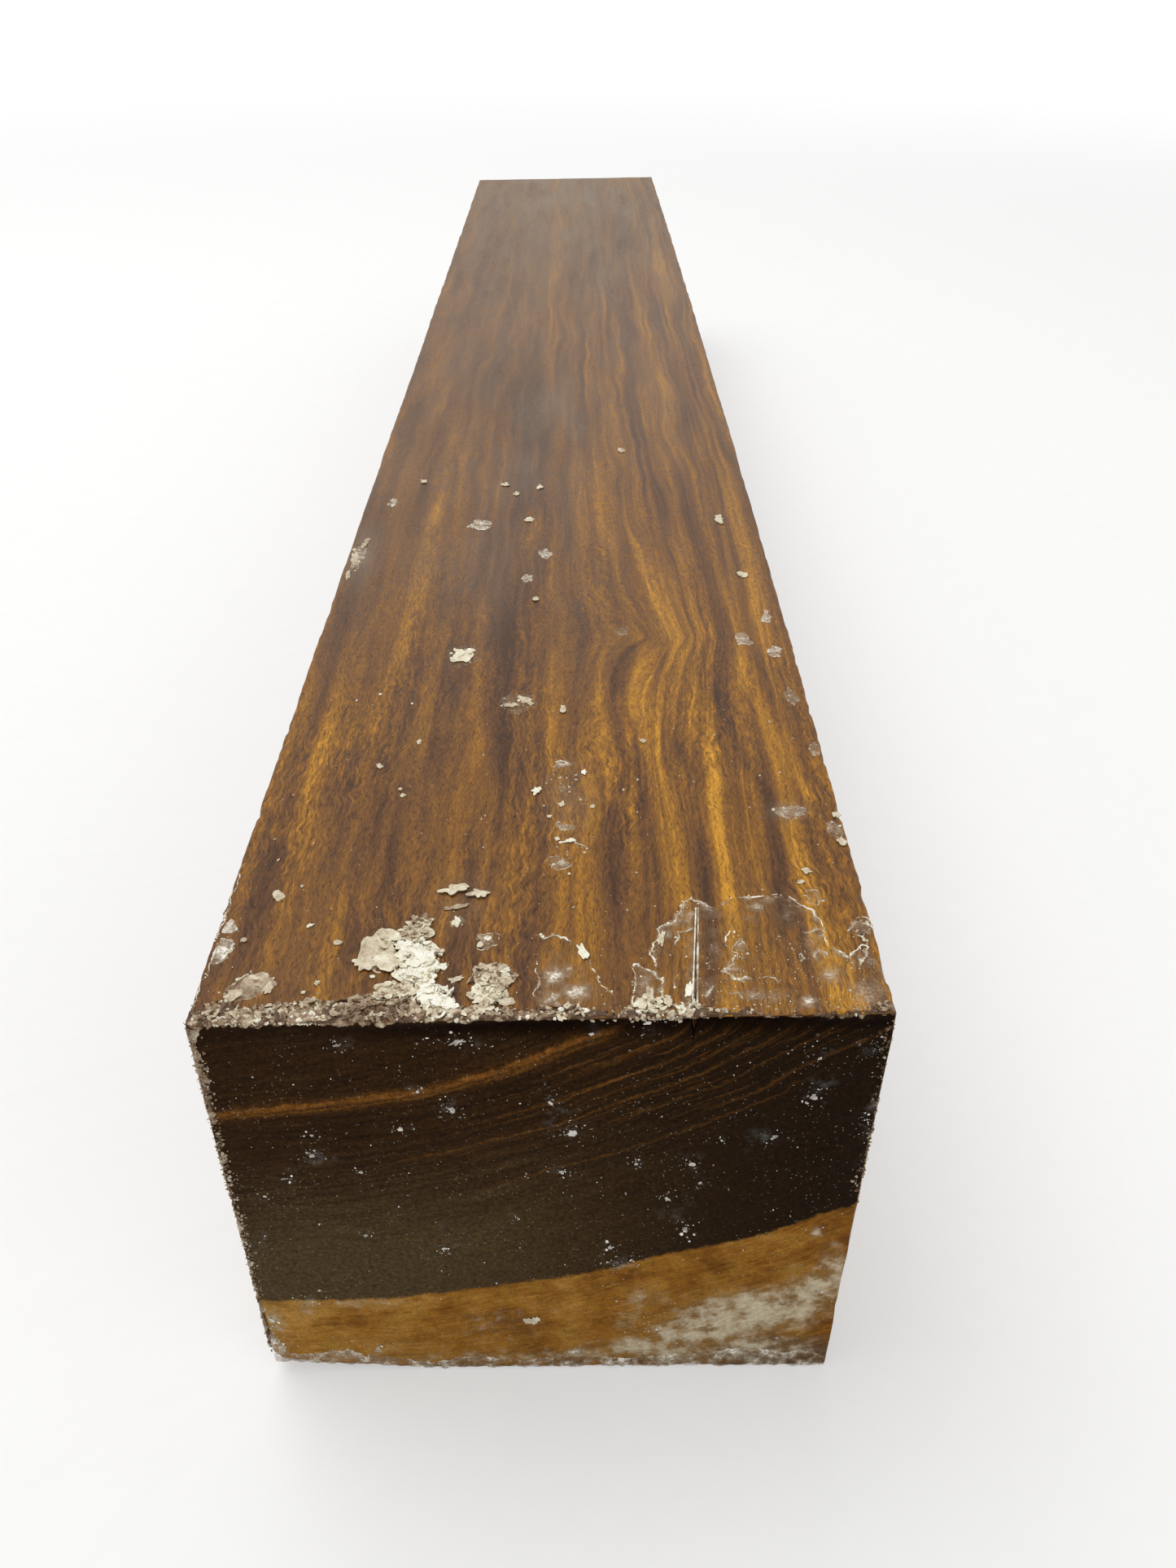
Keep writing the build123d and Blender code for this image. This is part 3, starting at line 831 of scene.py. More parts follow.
# Flakes: cream chips of the wax that broke and stayed where they were, most of them in one cluster near the
# arris, the others single on the upper face. The large ones were placed one by one, the rest are random.
# The large ones: (x, way from the near arris, half width, half length, turn in degrees, lift, shade)
FLAKES = [
    (-18.7, 15.8, 1.5, 1.4, 0, 0.12, 0.56), (-17.9, 18.3, 1.2, 1.1, 0, 0.12, 0.54),
    (-22.6, 12.6, 2.3, 3.9, -10, 0.15, 0.55), (-24, 10.4, 1.5, 1.3, 20, 0.25, 0.60),
    (-21.6, 15.4, 1.6, 1.9, 20, 0.30, 0.62), (-21.2, 10.6, 1.6, 1.8, 0, 0.30, 0.70),
    (-17, 17, 1.3, 2.3, 10, 0.10, 0.56), (-16.8, 18.4, 0.8, 0.9, 0, 0.25, 0.68),
    (-18.3, 12.4, 1.8, 1.8, 30, 0.30, 0.88), (-16.4, 12.6, 1.7, 1.6, -20, 0.35, 0.90),
    (-16, 9.8, 1.6, 2, 10, 0.35, 0.92), (-18.2, 8.2, 1.7, 1.6, -30, 0.30, 0.84),
    (-15.4, 7.2, 1.1, 1.3, 0, 0.30, 0.90), (-17.2, 10.6, 1.3, 1.3, 45, 0.55, 0.95),
    (-15.6, 11.2, 0.8, 1, 0, 0.55, 0.96), (-19.4, 13.6, 1, 0.8, 0, 0.40, 0.88),
    (-20.4, 5.4, 1.8, 1.3, -10, 0.25, 0.56), (-18, 5, 1.6, 1.3, 20, 0.30, 0.68),
    (-21.2, 4.2, 1, 0.8, 0, 0.30, 0.58), (-15.2, 4.2, 1.7, 1.3, 30, 0.30, 0.93),
    (-13.4, 3.2, 1.7, 1, -15, 0.30, 0.95), (-12.2, 2.5, 1, 0.8, 0, 0.30, 0.90),
    (-15.8, 5.6, 1.1, 0.8, 0, 0.35, 0.92), (-24.2, 3.2, 1.6, 1.2, 20, 0.10, 0.34),
    (-22.2, 2.4, 1.8, 1.3, -10, 0.12, 0.36), (-19.6, 2.2, 1.9, 1.3, 15, 0.12, 0.40),
    (-17.4, 2, 1.4, 1.1, 0, 0.15, 0.48), (-25.2, 1.4, 1, 0.9, 0, 0.10, 0.36),
    (-13.7, 9.7, 0.7, 0.6, 0, 0.12, 0.95), (-22.7, 8, 0.35, 0.3, 0, 0.08, 0.85),
    (-11.7, 7.3, 0.9, 0.5, 20, 0.10, 0.60), (-8, 8, 1.6, 1.9, 20, 0.12, 0.46),
    (-8.6, 9.2, 0.8, 0.7, 0, 0.20, 0.54), (-5.3, 6.8, 1.2, 1.2, 0, 0.25, 0.58),
    (-6.6, 7.2, 1.2, 1, 0, 0.22, 0.52), (-7.7, 4.3, 2, 1.4, -10, 0.25, 0.70),
    (-7.2, 3.4, 1.6, 1, 20, 0.30, 0.76), (-8.8, 5, 0.8, 1, 0, 0.30, 0.80), (-5, 3, 1.2, 0.7, 0, 0.20, 0.62),
    (-13.2, 25.3, 1.9, 1, 20, 0.35, 0.66), (-9.8, 24.2, 1.3, 0.9, -20, 0.30, 0.60),
    (-12.5, 18.5, 0.6, 0.8, 20, 0.12, 0.78), (-8.2, 14.3, 1.2, 1.4, 0, 0.10, 0.24),
    (-8, 14.8, 0.5, 0.6, 0, 0.25, 0.82), (-8.9, 13.6, 0.4, 0.5, 0, 0.25, 0.76),
    (15.5, 14.4, 0.45, 1.3, -10, 0.12, 0.64), (18.5, 4.6, 0.5, 1.3, -15, 0.15, 0.92),
    (4.9, 12, 0.6, 1.5, 20, 0.15, 0.86), (12.2, 2, 0.9, 1, 0, 0.20, 0.66),
    (13.9, 2.2, 0.8, 1.1, 10, 0.20, 0.72), (13.4, 4.4, 0.5, 0.9, 0, 0.12, 0.62),
    (15.7, 2.6, 0.55, 1, 0, 0.15, 0.60), (-17, 93.3, 1.7, 2.6, 20, 0.12, 0.72),
    (-15.9, 95.1, 0.8, 1.7, -38, 0.12, 0.76), (-18.5, 91.9, 1.1, 0.8, -30, 0.12, 0.68),
    (-17.6, 94, 0.9, 1, 0, 0.30, 0.82), (-18.4, 95.4, 0.5, 1, 30, 0.10, 0.70),
    (-7.4, 75.4, 1.3, 0.8, 15, 0.10, 0.50), (-4.9, 77.1, 1.5, 0.8, -20, 0.15, 0.58),
    (-3.9, 75.9, 0.5, 0.6, 0, 0.10, 0.62), (1.8, 73.7, 0.5, 1.5, 0, 0.08, 0.60),
    (-2.2, 49.4, 0.7, 0.9, 0, 0.15, 0.86), (5.3, 54.2, 0.5, 0.5, 0, 0.12, 0.88),
    (3.2, 36.3, 0.7, 0.45, 10, 0.15, 0.90), (1.8, 45.6, 0.5, 0.6, 0, 0.10, 0.68),
    (6.6, 45, 0.4, 0.5, 0, 0.10, 0.64), (-0.1, 42.5, 0.35, 0.4, 0, 0.10, 0.66),
    (1.2, 36.8, 0.4, 0.4, 0, 0.10, 0.72), (3, 28.5, 0.25, 0.25, 0, 0.08, 0.70),
    (15.3, 63.3, 0.5, 0.6, 0, 0.10, 0.64), (-22.3, 64.2, 0.4, 0.7, 0, 0.08, 0.62),
    (-28, 57, 0.5, 0.7, 20, 0.08, 0.60), (-23.9, 50.4, 0.3, 0.3, 0, 0.08, 0.70),
    (-23.3, 48.7, 0.4, 0.5, 0, 0.08, 0.64), (-38.3, 24.8, 0.8, 1.1, 30, 0.10, 0.60),
    (-41.2, 15.5, 0.45, 0.4, 0, 0.12, 0.44), (-32.7, 18.3, 0.5, 0.3, 30, 0.10, 0.90),
    (-35.3, 26.8, 0.25, 0.25, 0, 0.08, 0.70), (-28.3, 14.7, 0.6, 0.5, 0, 0.08, 0.56),
    (-31.3, 5.3, 0.3, 0.3, 0, 0.08, 0.62), (-29.8, 7, 0.4, 0.35, 0, 0.08, 0.60),
    (36.1, 25.8, 0.5, 0.4, 0, 0.08, 0.60), (37.3, 28.3, 0.7, 0.6, 0, 0.08, 0.60),
    (43.9, 41.7, 0.6, 0.8, 0, 0.08, 0.60), (43.6, 35, 0.7, 1, 0, 0.08, 0.60),
    (36.8, 155, 1, 2.4, 5, 0.08, 0.60), (39, 126, 1, 1.3, 0, 0.10, 0.62),
    (-33, 181, 0.9, 1.4, 0, 0.08, 0.60), (-13, 178, 0.9, 1.6, 15, 0.08, 0.64),
    (-10, 172, 0.7, 1.2, 0, 0.08, 0.60), (-4.5, 176, 0.8, 1.4, 0, 0.08, 0.62),
    (-6.5, 156.5, 0.9, 1.5, 0, 0.08, 0.62), (-4, 116.5, 0.7, 1.2, 0, 0.08, 0.58),
    (-43.6, 137, 0.8, 3.5, 4, 0.08, 0.50), (-42.4, 145, 0.7, 2.4, -6, 0.08, 0.46),
    (-43.9, 129, 0.5, 1.8, 0, 0.08, 0.52), (16, 200, 0.9, 1.6, 0, 0.08, 0.52),
    (-3.7, -66.5, 0.9, 0.75, 10, 0.10, 0.66), (-2.5, -66, 0.65, 0.55, 40, 0.15, 0.76),
    (-2.9, -67, 0.5, 0.4, 0, 0.10, 0.60),
]
# Thin tan chips, rows as in FLAKES: a broken flake near the left corner, and one under the brown film
TAN_CHIPS = [
    (-38.4, 6.7, 2.3, 1.5, 30, 0.08, 0.32), (-36.5, 7.3, 1.1, 1.2, 0, 0.12, 0.40),
    (-40.2, 5.2, 1.3, 1, 35, 0.08, 0.46), (-37.8, 8.3, 1.3, 0.5, 10, 0.14, 0.62),
    (-36, 6.2, 0.6, 1, 0, 0.14, 0.58), (-12.8, 21.6, 1.6, 0.5, 15, 0.08, 0.34),
]
# The places where chips and grains fill the cluster: (x, way from the arris, half width, half length, shade)
CLUSTER = [
    (-17, 10.4, 3.2, 4.2, 0.92), (-21.2, 15, 1.3, 1.4, 0.70), (-18.8, 5, 3.2, 1.8, 0.64),
    (-14.2, 4, 2.6, 1.8, 0.95), (-18.4, 16.4, 1.8, 1.8, 0.58), (-17.6, 18.6, 1.5, 1.3, 0.56),
    (-21, 2.4, 5, 1.9, 0.36), (-7.4, 4.4, 2.6, 2.2, 0.68), (-6.8, 7.4, 2.8, 2.2, 0.52),
    (-17, 17, 1.2, 2.2, 0.60), (13.4, 1.6, 1.8, 1, 0.64),
]
# Where small chips lie on the crust, rows as in CLUSTER
BAND_OVALS = [
    (-42, 2, 3, 1.9, 0.46), (-36, 1.6, 4, 1.5, 0.44), (-29.5, 1.9, 4, 1.8, 0.44), (-22, 2.2, 5, 2.2, 0.36),
    (-13.5, 1.5, 2.6, 1.3, 0.76), (-7, 1.1, 3.5, 0.9, 0.58), (1.5, 1.2, 3.5, 1, 0.44),
    (13.5, 1.9, 2.2, 1.6, 0.74), (18.5, 1.4, 1.8, 1.1, 0.64), (43, 1.1, 1.2, 0.9, 0.50),
]


def flakes(skin, rows, thickness, lean, cells, seed):
    """Flat chips of wax, each two layers of a square grid drawn onto a disc: a point of the grid goes to the
    distance max(|a|, |b|) times a radius that wanders with direction. The middle is stuck down, and the rim
    is thin and lifted."""
    random = np.random.default_rng(seed)
    u, v, wide, long, turn, lift, shade = np.array(rows, float).T[..., None]
    lines = np.linspace(-1.0, 1.0, cells + 1)
    plate, faces, _ = box_skin(lines, lines, np.array([0.0, 1.0]))
    a, b, layer = plate.T
    reach, angle = np.maximum(np.abs(a), np.abs(b)), np.arctan2(b, a)
    turns = np.arange(2, 9)
    sizes = random.normal(0.0, 0.17, (len(u), 1, turns.size)) / np.sqrt(turns)
    phases = random.uniform(0.0, 6.28, (len(u), 1, turns.size))
    ragged = 1.0 + (sizes * np.cos(turns * angle[:, None] + phases)).sum(-1)
    wobble = random.normal(0.0, 1.0, (len(u), len(plate)))
    along = wide * reach * np.cos(angle) * ragged
    ahead = long * reach * np.sin(angle) * ragged
    waves = hills((u + along) / 1.1, (v + ahead) / 1.1, 68, 3)
    top = thickness * (1.0 - 0.5 * reach**6) + lift * (0.5 + 0.5 * reach) + 0.10 * thickness * wobble
    top += np.minimum(0.14, 0.16 * wide) * waves
    under = (top - thickness * 0.45) * reach**2 - 0.12 * (1.0 - reach**2)
    shape = np.stack([along, ahead, np.where(layer > 0.5, top, under)], -1)
    # The underside, and so the foot of each chip's rim wall, is painted 0.14 darker: painted shade under the
    # chip
    tints = shade + 0.04 * wobble + 0.10 * waves - 0.14 * (layer < 0.5)
    seats = seat(skin, u[:, 0], v[:, 0], np.radians(turn[:, 0]), lean, random)
    return set_down(shape, faces, seats, tints)


def strewn(rows, count, seed, crowd=0.5):
    """Random places in some ovals, more of them in the larger ones. A row starts (u, v, half width, half
    length). They lie at 2 * crowd * random^crowd half widths from the middle: evenly spread at crowd 0.5."""
    random = np.random.default_rng(seed)
    rows = np.array([row[:4] for row in rows], float)
    area = rows[:, 2] * rows[:, 3]
    rows = rows[random.choice(len(rows), count, p=area / area.sum())]
    angle = random.uniform(0.0, 6.28, count)
    reach = 2.0 * crowd * random.uniform(0.0, 1.0, count) ** crowd
    return rows[:, 0] + rows[:, 2] * reach * np.cos(angle), rows[:, 1] + rows[:, 3] * reach * np.sin(angle)


def strewn_rows(rows, count, low, high, lift, seed):
    """Rows of random chips for flakes(), their half sizes from low to high. They lie in ovals, rows as in
    CLUSTER, and each takes about the shade of the oval that it is deepest in."""
    random = np.random.default_rng(seed)
    u, v = strewn(rows, count, seed)
    nearest = np.argmin([np.hypot((u - row[0]) / row[2], (v - row[1]) / row[3]) for row in rows], 0)
    shade = np.array([row[4] for row in rows])[nearest] + random.normal(-0.05, 0.15, count)
    wide, long = random.uniform(low, high, (2, count))
    turn, raised = random.uniform(0.0, 360.0, count), random.uniform(0.05, lift, count)
    return np.stack([u, v, wide, long, turn, raised, shade], 1)


large = flakes(near_skin, FLAKES, 0.17, 0.05, 11, 61)
chips = flakes(near_skin, strewn_rows(CLUSTER, 330, 0.16, 0.70, 0.65, 62), 0.12, 0.34, 4, 63)
band_chips = flakes(near_skin, strewn_rows(BAND_OVALS, 230, 0.20, 0.75, 0.35, 66), 0.11, 0.35, 4, 67)
tan_chips = flakes(near_skin, TAN_CHIPS, 0.10, 0.03, 9, 68)
wax_flakes = loose("wax_flakes", [large, chips, band_chips, tan_chips], cream)
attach(wax_flakes, "root")


# Clear wax: thin films left on the upper face, almost invisible but for their frosted, scalloped rims
# and the milky spots where they have come loose from the wood.
def to_line(u, v, start, stop):
    """Distance from each point (u, v) to the straight line between two points."""
    du, dv = stop[0] - start[0], stop[1] - start[1]
    t = np.clip(((u - start[0]) * du + (v - start[1]) * dv) / (du * du + dv * dv), 0.0, 1.0)
    return np.hypot(u - start[0] - du * t, v - start[1] - dv * t)


def outline_inside(u, v, corners):
    """How far each point lies inside an outline with these corners, in millimetres, negative outside: the
    distance to its nearest side, with the sign from how many sides a line to the right crosses."""
    within = np.zeros(u.shape, bool)
    nearest = np.full(u.shape, 1e3)
    for start, stop in zip(corners, [*corners[1:], corners[0]]):
        nearest = np.minimum(nearest, to_line(u, v, start, stop))
        crossed = (start[1] > v) != (stop[1] > v)
        rise = stop[1] - start[1]
        at = start[0] + (v - start[1]) * (stop[0] - start[0]) / (rise if rise else 1.0)
        within ^= crossed & (u < at)
    return np.where(within, nearest, -nearest)


def fray(u, v):
    """Places moved by up to about half a millimetre, so that what is drawn there in straight strokes wanders.
    Around the check they stay, as the wax broke off straight beside it."""
    far_from_check = np.clip(np.abs(u - CHECK_MOUTH_X - CHECK_DRIFT * v / CHECK_LENGTH) - 0.5, 0.05, 1.0)
    reach = 0.42 * np.where(v < CHECK_LENGTH + 0.5, far_from_check, 1.0)
    return u + reach * hills(u / 1.5, v / 1.5, 46, 3), v + reach * hills(u / 1.5, v / 1.5, 47, 3)


def drawn(u, v, strokes):
    """How strongly strokes mark each point: the largest of strength * exp(-(distance / half width)^2)."""
    mark = np.zeros(u.shape)
    u, v = fray(u, v)
    for wide, strength, *line in strokes:
        for start, stop in zip(line, line[1:]):
            mark = np.maximum(mark, strength * np.exp(-((to_line(u, v, start, stop) / wide) ** 2)))
    return mark


def clear_wax(name):
    """Clear wax film: milky and nearly opaque where its attribute frost is high, clear elsewhere."""
    film = Finish(name, Specular_IOR_Level=0.4, IOR=1.45)
    frost = film.attribute("frost")
    lumps = film.noise(film.place(0.55, 0.55, 0.55), 4.0, 0.7)
    grains = film.noise(film.place(2.6, 2.6, 2.6), 3.0, 0.7)
    rim = film.attribute("inside").step(0.28, 0.02) * 0.19
    milky = (frost * (lumps * 1.7 + 0.95) + rim + (lumps - 0.16) * 0.5) * (grains * 2.0 + 0.95)
    milky = milky.clip()
    colour = milky.tint((0.0, (0.24, 0.145, 0.07)), (0.35, (0.42, 0.31, 0.20)), (0.7, (0.66, 0.58, 0.46)),
                        (1.0, (0.86, 0.83, 0.75)))
    return film.dress(Base_Color=colour, Alpha=(milky * 0.95 + 0.035).clip(),
                      Roughness=(0.22 + milky * 0.35).clip(), Normal=film.bump(grains + lumps, 0.05))


# Small films: (x, way from the arris, half width, half length, frost)
SMALL_FILMS = [
    (1.9, 53, 2.9, 4.4, 0.10), (3, 34, 2.5, 2.6, 0), (2.4, 40, 1.2, 1, 0.55), (1.6, 31, 1.6, 1.4, 0.35),
    (37.3, 22.5, 1.2, 1.4, 0.25), (42.6, 16.2, 1.4, 1.4, 0.30), (36.5, 43, 2.2, 1.4, 0.50),
    (43.2, 38.3, 1.1, 1.8, 0.45), (43.6, 60.4, 0.8, 1.6, 0.50), (41.5, 93.3, 1, 2, 0.68),
    (42.3, 76.7, 1, 2.5, 0.45), (36.1, 98.3, 1.4, 2, 0.64), (-6, 76.2, 3.2, 2.5, 0.25),
    (-17, 93.3, 2.8, 3.9, 0.20), (-17.5, 154, 2, 2.6, 0.74), (-2.5, 138, 1.1, 1.8, 0.70),
    (-6, 126, 1, 1.6, 0.70), (41.5, 107, 1, 2.2, 0.68), (13, 102, 1.2, 1.8, 0.40),
    (4.6, 46.5, 1.5, 1.4, 0.10), (2, 50, 1, 0.9, 0.25), (-8.2, 14.3, 1.7, 1.9, 0.10),
    (-12.5, 18.5, 0.9, 1.1, 0.45), (26.1, 12.1, 1, 1.9, 0.30), (-43.2, 138, 1.5, 8, 0.55),
    (-39, 168, 1.4, 3, 0.66),
]
# The strokes of white wax where the films broke: (half width, strength, (x, way from the near arris), ...)
RIM_STROKES = [
    (0.12, 0.8, (11.1, 1.5), (11.3, 5), (11.8, 9.9)),
    (0.32, 1, (11.8, 9.9), (12.6, 8.9), (13.5, 8.5), (14.6, 8), (14.9, 5.5), (14.7, 3.5), (14.4, 2)),
    (0.30, 0.75, (14.4, 9), (14, 11.5), (14.6, 13.2), (15.2, 14.8), (15.6, 16.4), (17.2, 18.6),
     (18.4, 19.8), (18.9, 21.6), (19.6, 22.8), (20.3, 23.3)),
    (0.28, 0.9, (20.3, 23.3), (20.8, 22.4), (21.9, 22), (23, 20.8)),
    (0.33, 0.7, (24.6, 21.5), (25.2, 22.3)),
    (0.33, 0.7, (27.2, 23), (28.4, 22.7), (29.6, 22.8), (30.9, 22.6)),
    (0.20, 0.3, (31, 22.8), (33.8, 23.6)),
    (0.16, 1, (34, 23.2), (34.9, 21.7), (36.4, 20.3), (37.1, 18.9), (37.7, 17.2), (37.5, 15.4),
     (37.6, 13.6), (38, 12.5)),
    (0.28, 0.7, (38, 12.5), (39, 11.9), (39.8, 10.9), (40.3, 9.6)),
    (0.20, 0.9, (40.3, 9.8), (41, 11.2), (42, 12.1), (42.8, 12.2), (42.6, 10.8), (41.8, 9.6), (41.4, 8.6)),
    (0.20, 0.8, (41, 15), (41.2, 16.6), (42.4, 17.3), (43.8, 16.9), (44.6, 15.4)),
    (0.15, 0.9, (41.2, 14.6), (42.6, 14), (43.2, 13), (42.6, 12.2)),
    (0.20, 0.9, (25.3, 16.2), (24.5, 15.2), (24, 13.8), (24.1, 12.6)),
    (0.16, 0.9, (25.2, 11), (24.8, 9.6), (23.9, 9), (23.2, 8.1), (24, 7.4), (24.9, 6.4), (25.8, 7),
     (27, 6.4)),
    (0.12, 0.6, (28.2, 6.4), (29.4, 6.9), (30.2, 6.4), (30.4, 5.4)),
    (0.20, 0.7, (35, 15), (35.8, 15.5), (36.9, 16)), (0.24, 0.8, (33.4, 9.6), (34.4, 9.9), (34.2, 11.2)),
    (0.18, 0.7, (35.6, 9.6), (35.9, 11), (37, 11.6), (37.3, 10.4)),
    (0.24, 0.8, (20.8, 3.4), (21.6, 4.6), (21.9, 5.4)), (0.12, 0.6, (16.9, 5), (17.2, 7.8)),
    (0.24, 0.8, (17.5, 13), (17.8, 15.4), (19, 16.2), (20.2, 16.4)), (0.12, 0.6, (21.2, 8.6), (21.4, 10.2)),
    (0.15, 0.6, (23.6, 3.4), (24.8, 3.8), (25.6, 3)),
    (0.9, 0.42, (13.4, 8.6), (14.4, 11), (15.2, 14), (16.6, 17.4), (18.2, 19.6), (19.4, 22)),
    (0.7, 0.35, (12.4, 8.8), (13.2, 6.6), (13.6, 4.6)), (0.6, 0.5, (24.2, 8.4), (25.4, 11.8), (26.4, 13.8)),
    (0.6, 0.5, (40.5, 9), (42.4, 11.2), (43.2, 8.6)), (0.5, 0.5, (34.2, 21.6), (36.4, 18.8)),
    (0.5, 0.45, (-0.6, 2.6), (2.4, 4.6), (5.2, 5)), (0.5, 0.45, (0.8, 7), (2.8, 8.6)),
    (0.24, 0.8, (-1.4, 15.8), (-0.4, 14.9), (0.8, 15.8), (2, 15.3), (3.2, 14.2)),
    (0.12, 0.6, (5.6, 10.4), (6.4, 8.2), (6.7, 7), (7.8, 5.4), (8.7, 4)),
    (0.10, 0.5, (-1.1, 4), (-1.2, 11)), (0.22, 0.8, (0, 57.2), (1.4, 57.9), (3, 56.8)),
    (0.16, 0.9, (1.6, 36.2), (2.6, 36.7), (3.8, 36.4), (5.2, 35.4), (5.6, 34)),
    (0.14, 0.7, (-38.9, 9), (-37.9, 8.5), (-36.6, 8.6), (-35.5, 7.1), (-36.4, 5.4)),
    (0.14, 0.7, (-41.6, 4.2), (-41, 6.6), (-39.8, 8.2), (-38.9, 9)),
    (0.16, 0.6, (-44, 11), (-42.9, 12), (-42.3, 13.4), (-42.6, 15), (-43.6, 16.2)),
    (0.16, 0.7, (-43.4, 17), (-42.8, 17.6), (-43.2, 18.8), (-43.2, 19.8)),
    (0.16, 1, (-44.9, 15.5), (-44.8, 18), (-44.9, 20.5), (-44.8, 22.5)),
    (0.12, 0.7, (-44.9, 3), (-44.8, 9), (-44.9, 15.5)), (0.12, 0.6, (-44.8, 22.5), (-44.9, 33)),
]
# The large films' outlines, (x, way from the near arris), and the bare hole in the first of them
RIGHT_FILM = [
    (11.2, 0.8), (11.2, 2.5), (11.8, 9.9), (13.3, 8.6), (14.6, 8), (14.2, 12), (14.9, 14.5), (15.2, 16.6),
    (17, 18.5), (18.5, 20), (19.2, 22), (20.3, 23.2), (21.8, 22), (23, 20.8), (24.2, 21.4), (25.2, 22.4),
    (27.4, 23), (30.8, 22.6), (33.8, 23.7), (35.2, 21.6), (36.6, 20.2), (37.5, 18.4), (37.7, 16),
    (37.6, 12.9), (38.9, 11.8), (40.2, 10), (41, 11.2), (42.8, 12.2), (43.9, 10.5), (44, 3), (44, 0.8),
]
HOLE = [(24.2, 16.0), (25.4, 16.6), (25.6, 14.5), (24.9, 12.5), (24.3, 11.0), (24.0, 13.0)]
MIDDLE_FILM = [
    (-1.3, 1), (-1.3, 11), (-1.6, 15.8), (-0.4, 15), (0.8, 15.8), (2, 15.4), (3.4, 14.2), (4.2, 13.4),
    (5.4, 13), (5.8, 10.4), (6.6, 7.2), (7.8, 5.4), (9, 3.4), (9.2, 1),
]
BROWN_FILM = [
    (-15.6, 22), (-13.5, 23.4), (-10.6, 23.6), (-8.6, 23), (-8.2, 20), (-9.5, 17.2), (-11, 15.6), (-14, 15),
    (-15.4, 17.5),
]
AMBER_FLAKE = [
    (-41.6, 4.2), (-41, 6.6), (-39.8, 8.2), (-38.9, 9), (-37.9, 8.5), (-36.6, 8.6), (-35.5, 7.1),
    (-36.4, 5.4), (-38, 4.4), (-39.6, 4),
]
PINK_FLAKE = [
    (-44.6, 11.2), (-44, 11), (-42.9, 12), (-42.3, 13.4), (-42.6, 15), (-43.6, 16.2), (-44.6, 16.3),
]
EDGE_FLAKE = [
    (-44.6, 17.2), (-43.4, 17), (-42.8, 17.6), (-43.2, 18.8), (-43.2, 19.8), (-43.9, 20.3), (-44.6, 19.4),
]
# Where the films turn hazy beside a torn rim: strokes as above
HAZE = [
    (0.8, 0.45, (18.2, 0.5), (20.2, 19.5)), (0.8, 0.15, (13.4, 8.8), (14.8, 14), (17, 18.2), (19.6, 22.6)),
    (0.9, 0.5, (20.3, 23), (22.8, 20.6)), (0.9, 0.6, (27, 22.4), (31.2, 22)),
    (0.5, 0.4, (37, 18.6), (37.4, 13)), (0.9, 0.3, (12.2, 2), (12.6, 6)),
    (0.7, 0.25, (24.4, 8.6), (26.6, 6.8)), (0.8, 0.45, (38.4, 11.4), (42.8, 11)),
]
# Milky clouds in the films: (x, way from the arris, half width, half length, turn, strength)
CLOUDS = [
    (29, 20.6, 1.2, 1, 0, 0.7), (37.3, 6.8, 1.5, 1.6, 0, 0.8), (33.6, 2.3, 1.2, 0.9, 0, 0.9),
    (28, 3.4, 3, 1.2, 0, 0.55), (41.5, 4, 2.2, 2.6, 0, 0.6), (19, 18.5, 1.2, 2.2, -20, 0.28),
    (16.8, 16, 0.9, 2, -30, 0.28), (13.2, 6.4, 1.2, 2.2, 0, 0.35), (22.5, 19, 1.6, 1.6, 0, 0.25),
    (22.5, 12.5, 0.9, 3.4, 0, 0.35), (35.8, 12.6, 1.2, 2.6, 0, 0.45), (27.5, 18.5, 2, 1.2, 0, 0.3),
    (33, 19, 1.5, 2.2, 0, 0.25), (21, 4.4, 1.2, 2, 0, 0.4), (24.6, 8, 1.2, 1.4, 0, 0.25),
    (1.2, 7.5, 1.7, 1.9, 0, 0.7), (4, 4.5, 1.7, 1.9, 0, 0.8), (0.6, 4, 1.3, 1.6, 0, 0.6),
    (2.8, 9.2, 1, 1, 0, 0.5), (-37.6, 7.2, 1.1, 1, 0, 0.75), (-43.6, 14, 1, 2.2, 0, 0.7),
    (-43.9, 18.4, 0.8, 1.4, 0, 0.8), (1.5, 56.6, 1.7, 0.9, 0, 0.8), (2, 31, 1, 0.8, 0, 0.6),
]


def film_patch(corners, hole, frost, u_step, v_step):
    """A film over an outline on the upper face: a sheet whose rim is frayed by hills, with the strokes, the
    haze and the clouds drawn on it as frost. It is up to 0.2 mm thick where it is frosted."""
    low, high = np.min(corners, 0) - 0.9, np.max(corners, 0) + 0.9
    u, v = mesh_grid((low[0], min(high[0], RIGHT - 0.45)), (low[1], high[1]), u_step, v_step)
    frayed = 0.34 * hills(u / 1.1, v / 1.1, 41, 3) + 0.16 * hills(u / 0.4, v / 0.4, 42, 2)
    inside = outline_inside(u, v, corners) + frayed
    if hole:
        inside = np.minimum(inside, -outline_inside(u, v, hole) + frayed)
    haze = drawn(u, v, HAZE) * (0.55 + 0.6 * hills(u / 1.2, v / 1.2, 43, 3))
    frosted = np.clip(frost + drawn(u, v, RIM_STROKES) * 0.5 + haze + spots(u, v, CLOUDS) * 0.8, 0.0, 1.2)
    rise = 0.05 + 0.05 * np.abs(hills(u / 1.6, v / 1.6, 44, 2)) + 0.09 * np.clip(frosted, 0.0, 1.0)
    return sheet(near_skin, u, v, inside, rise, frosted)


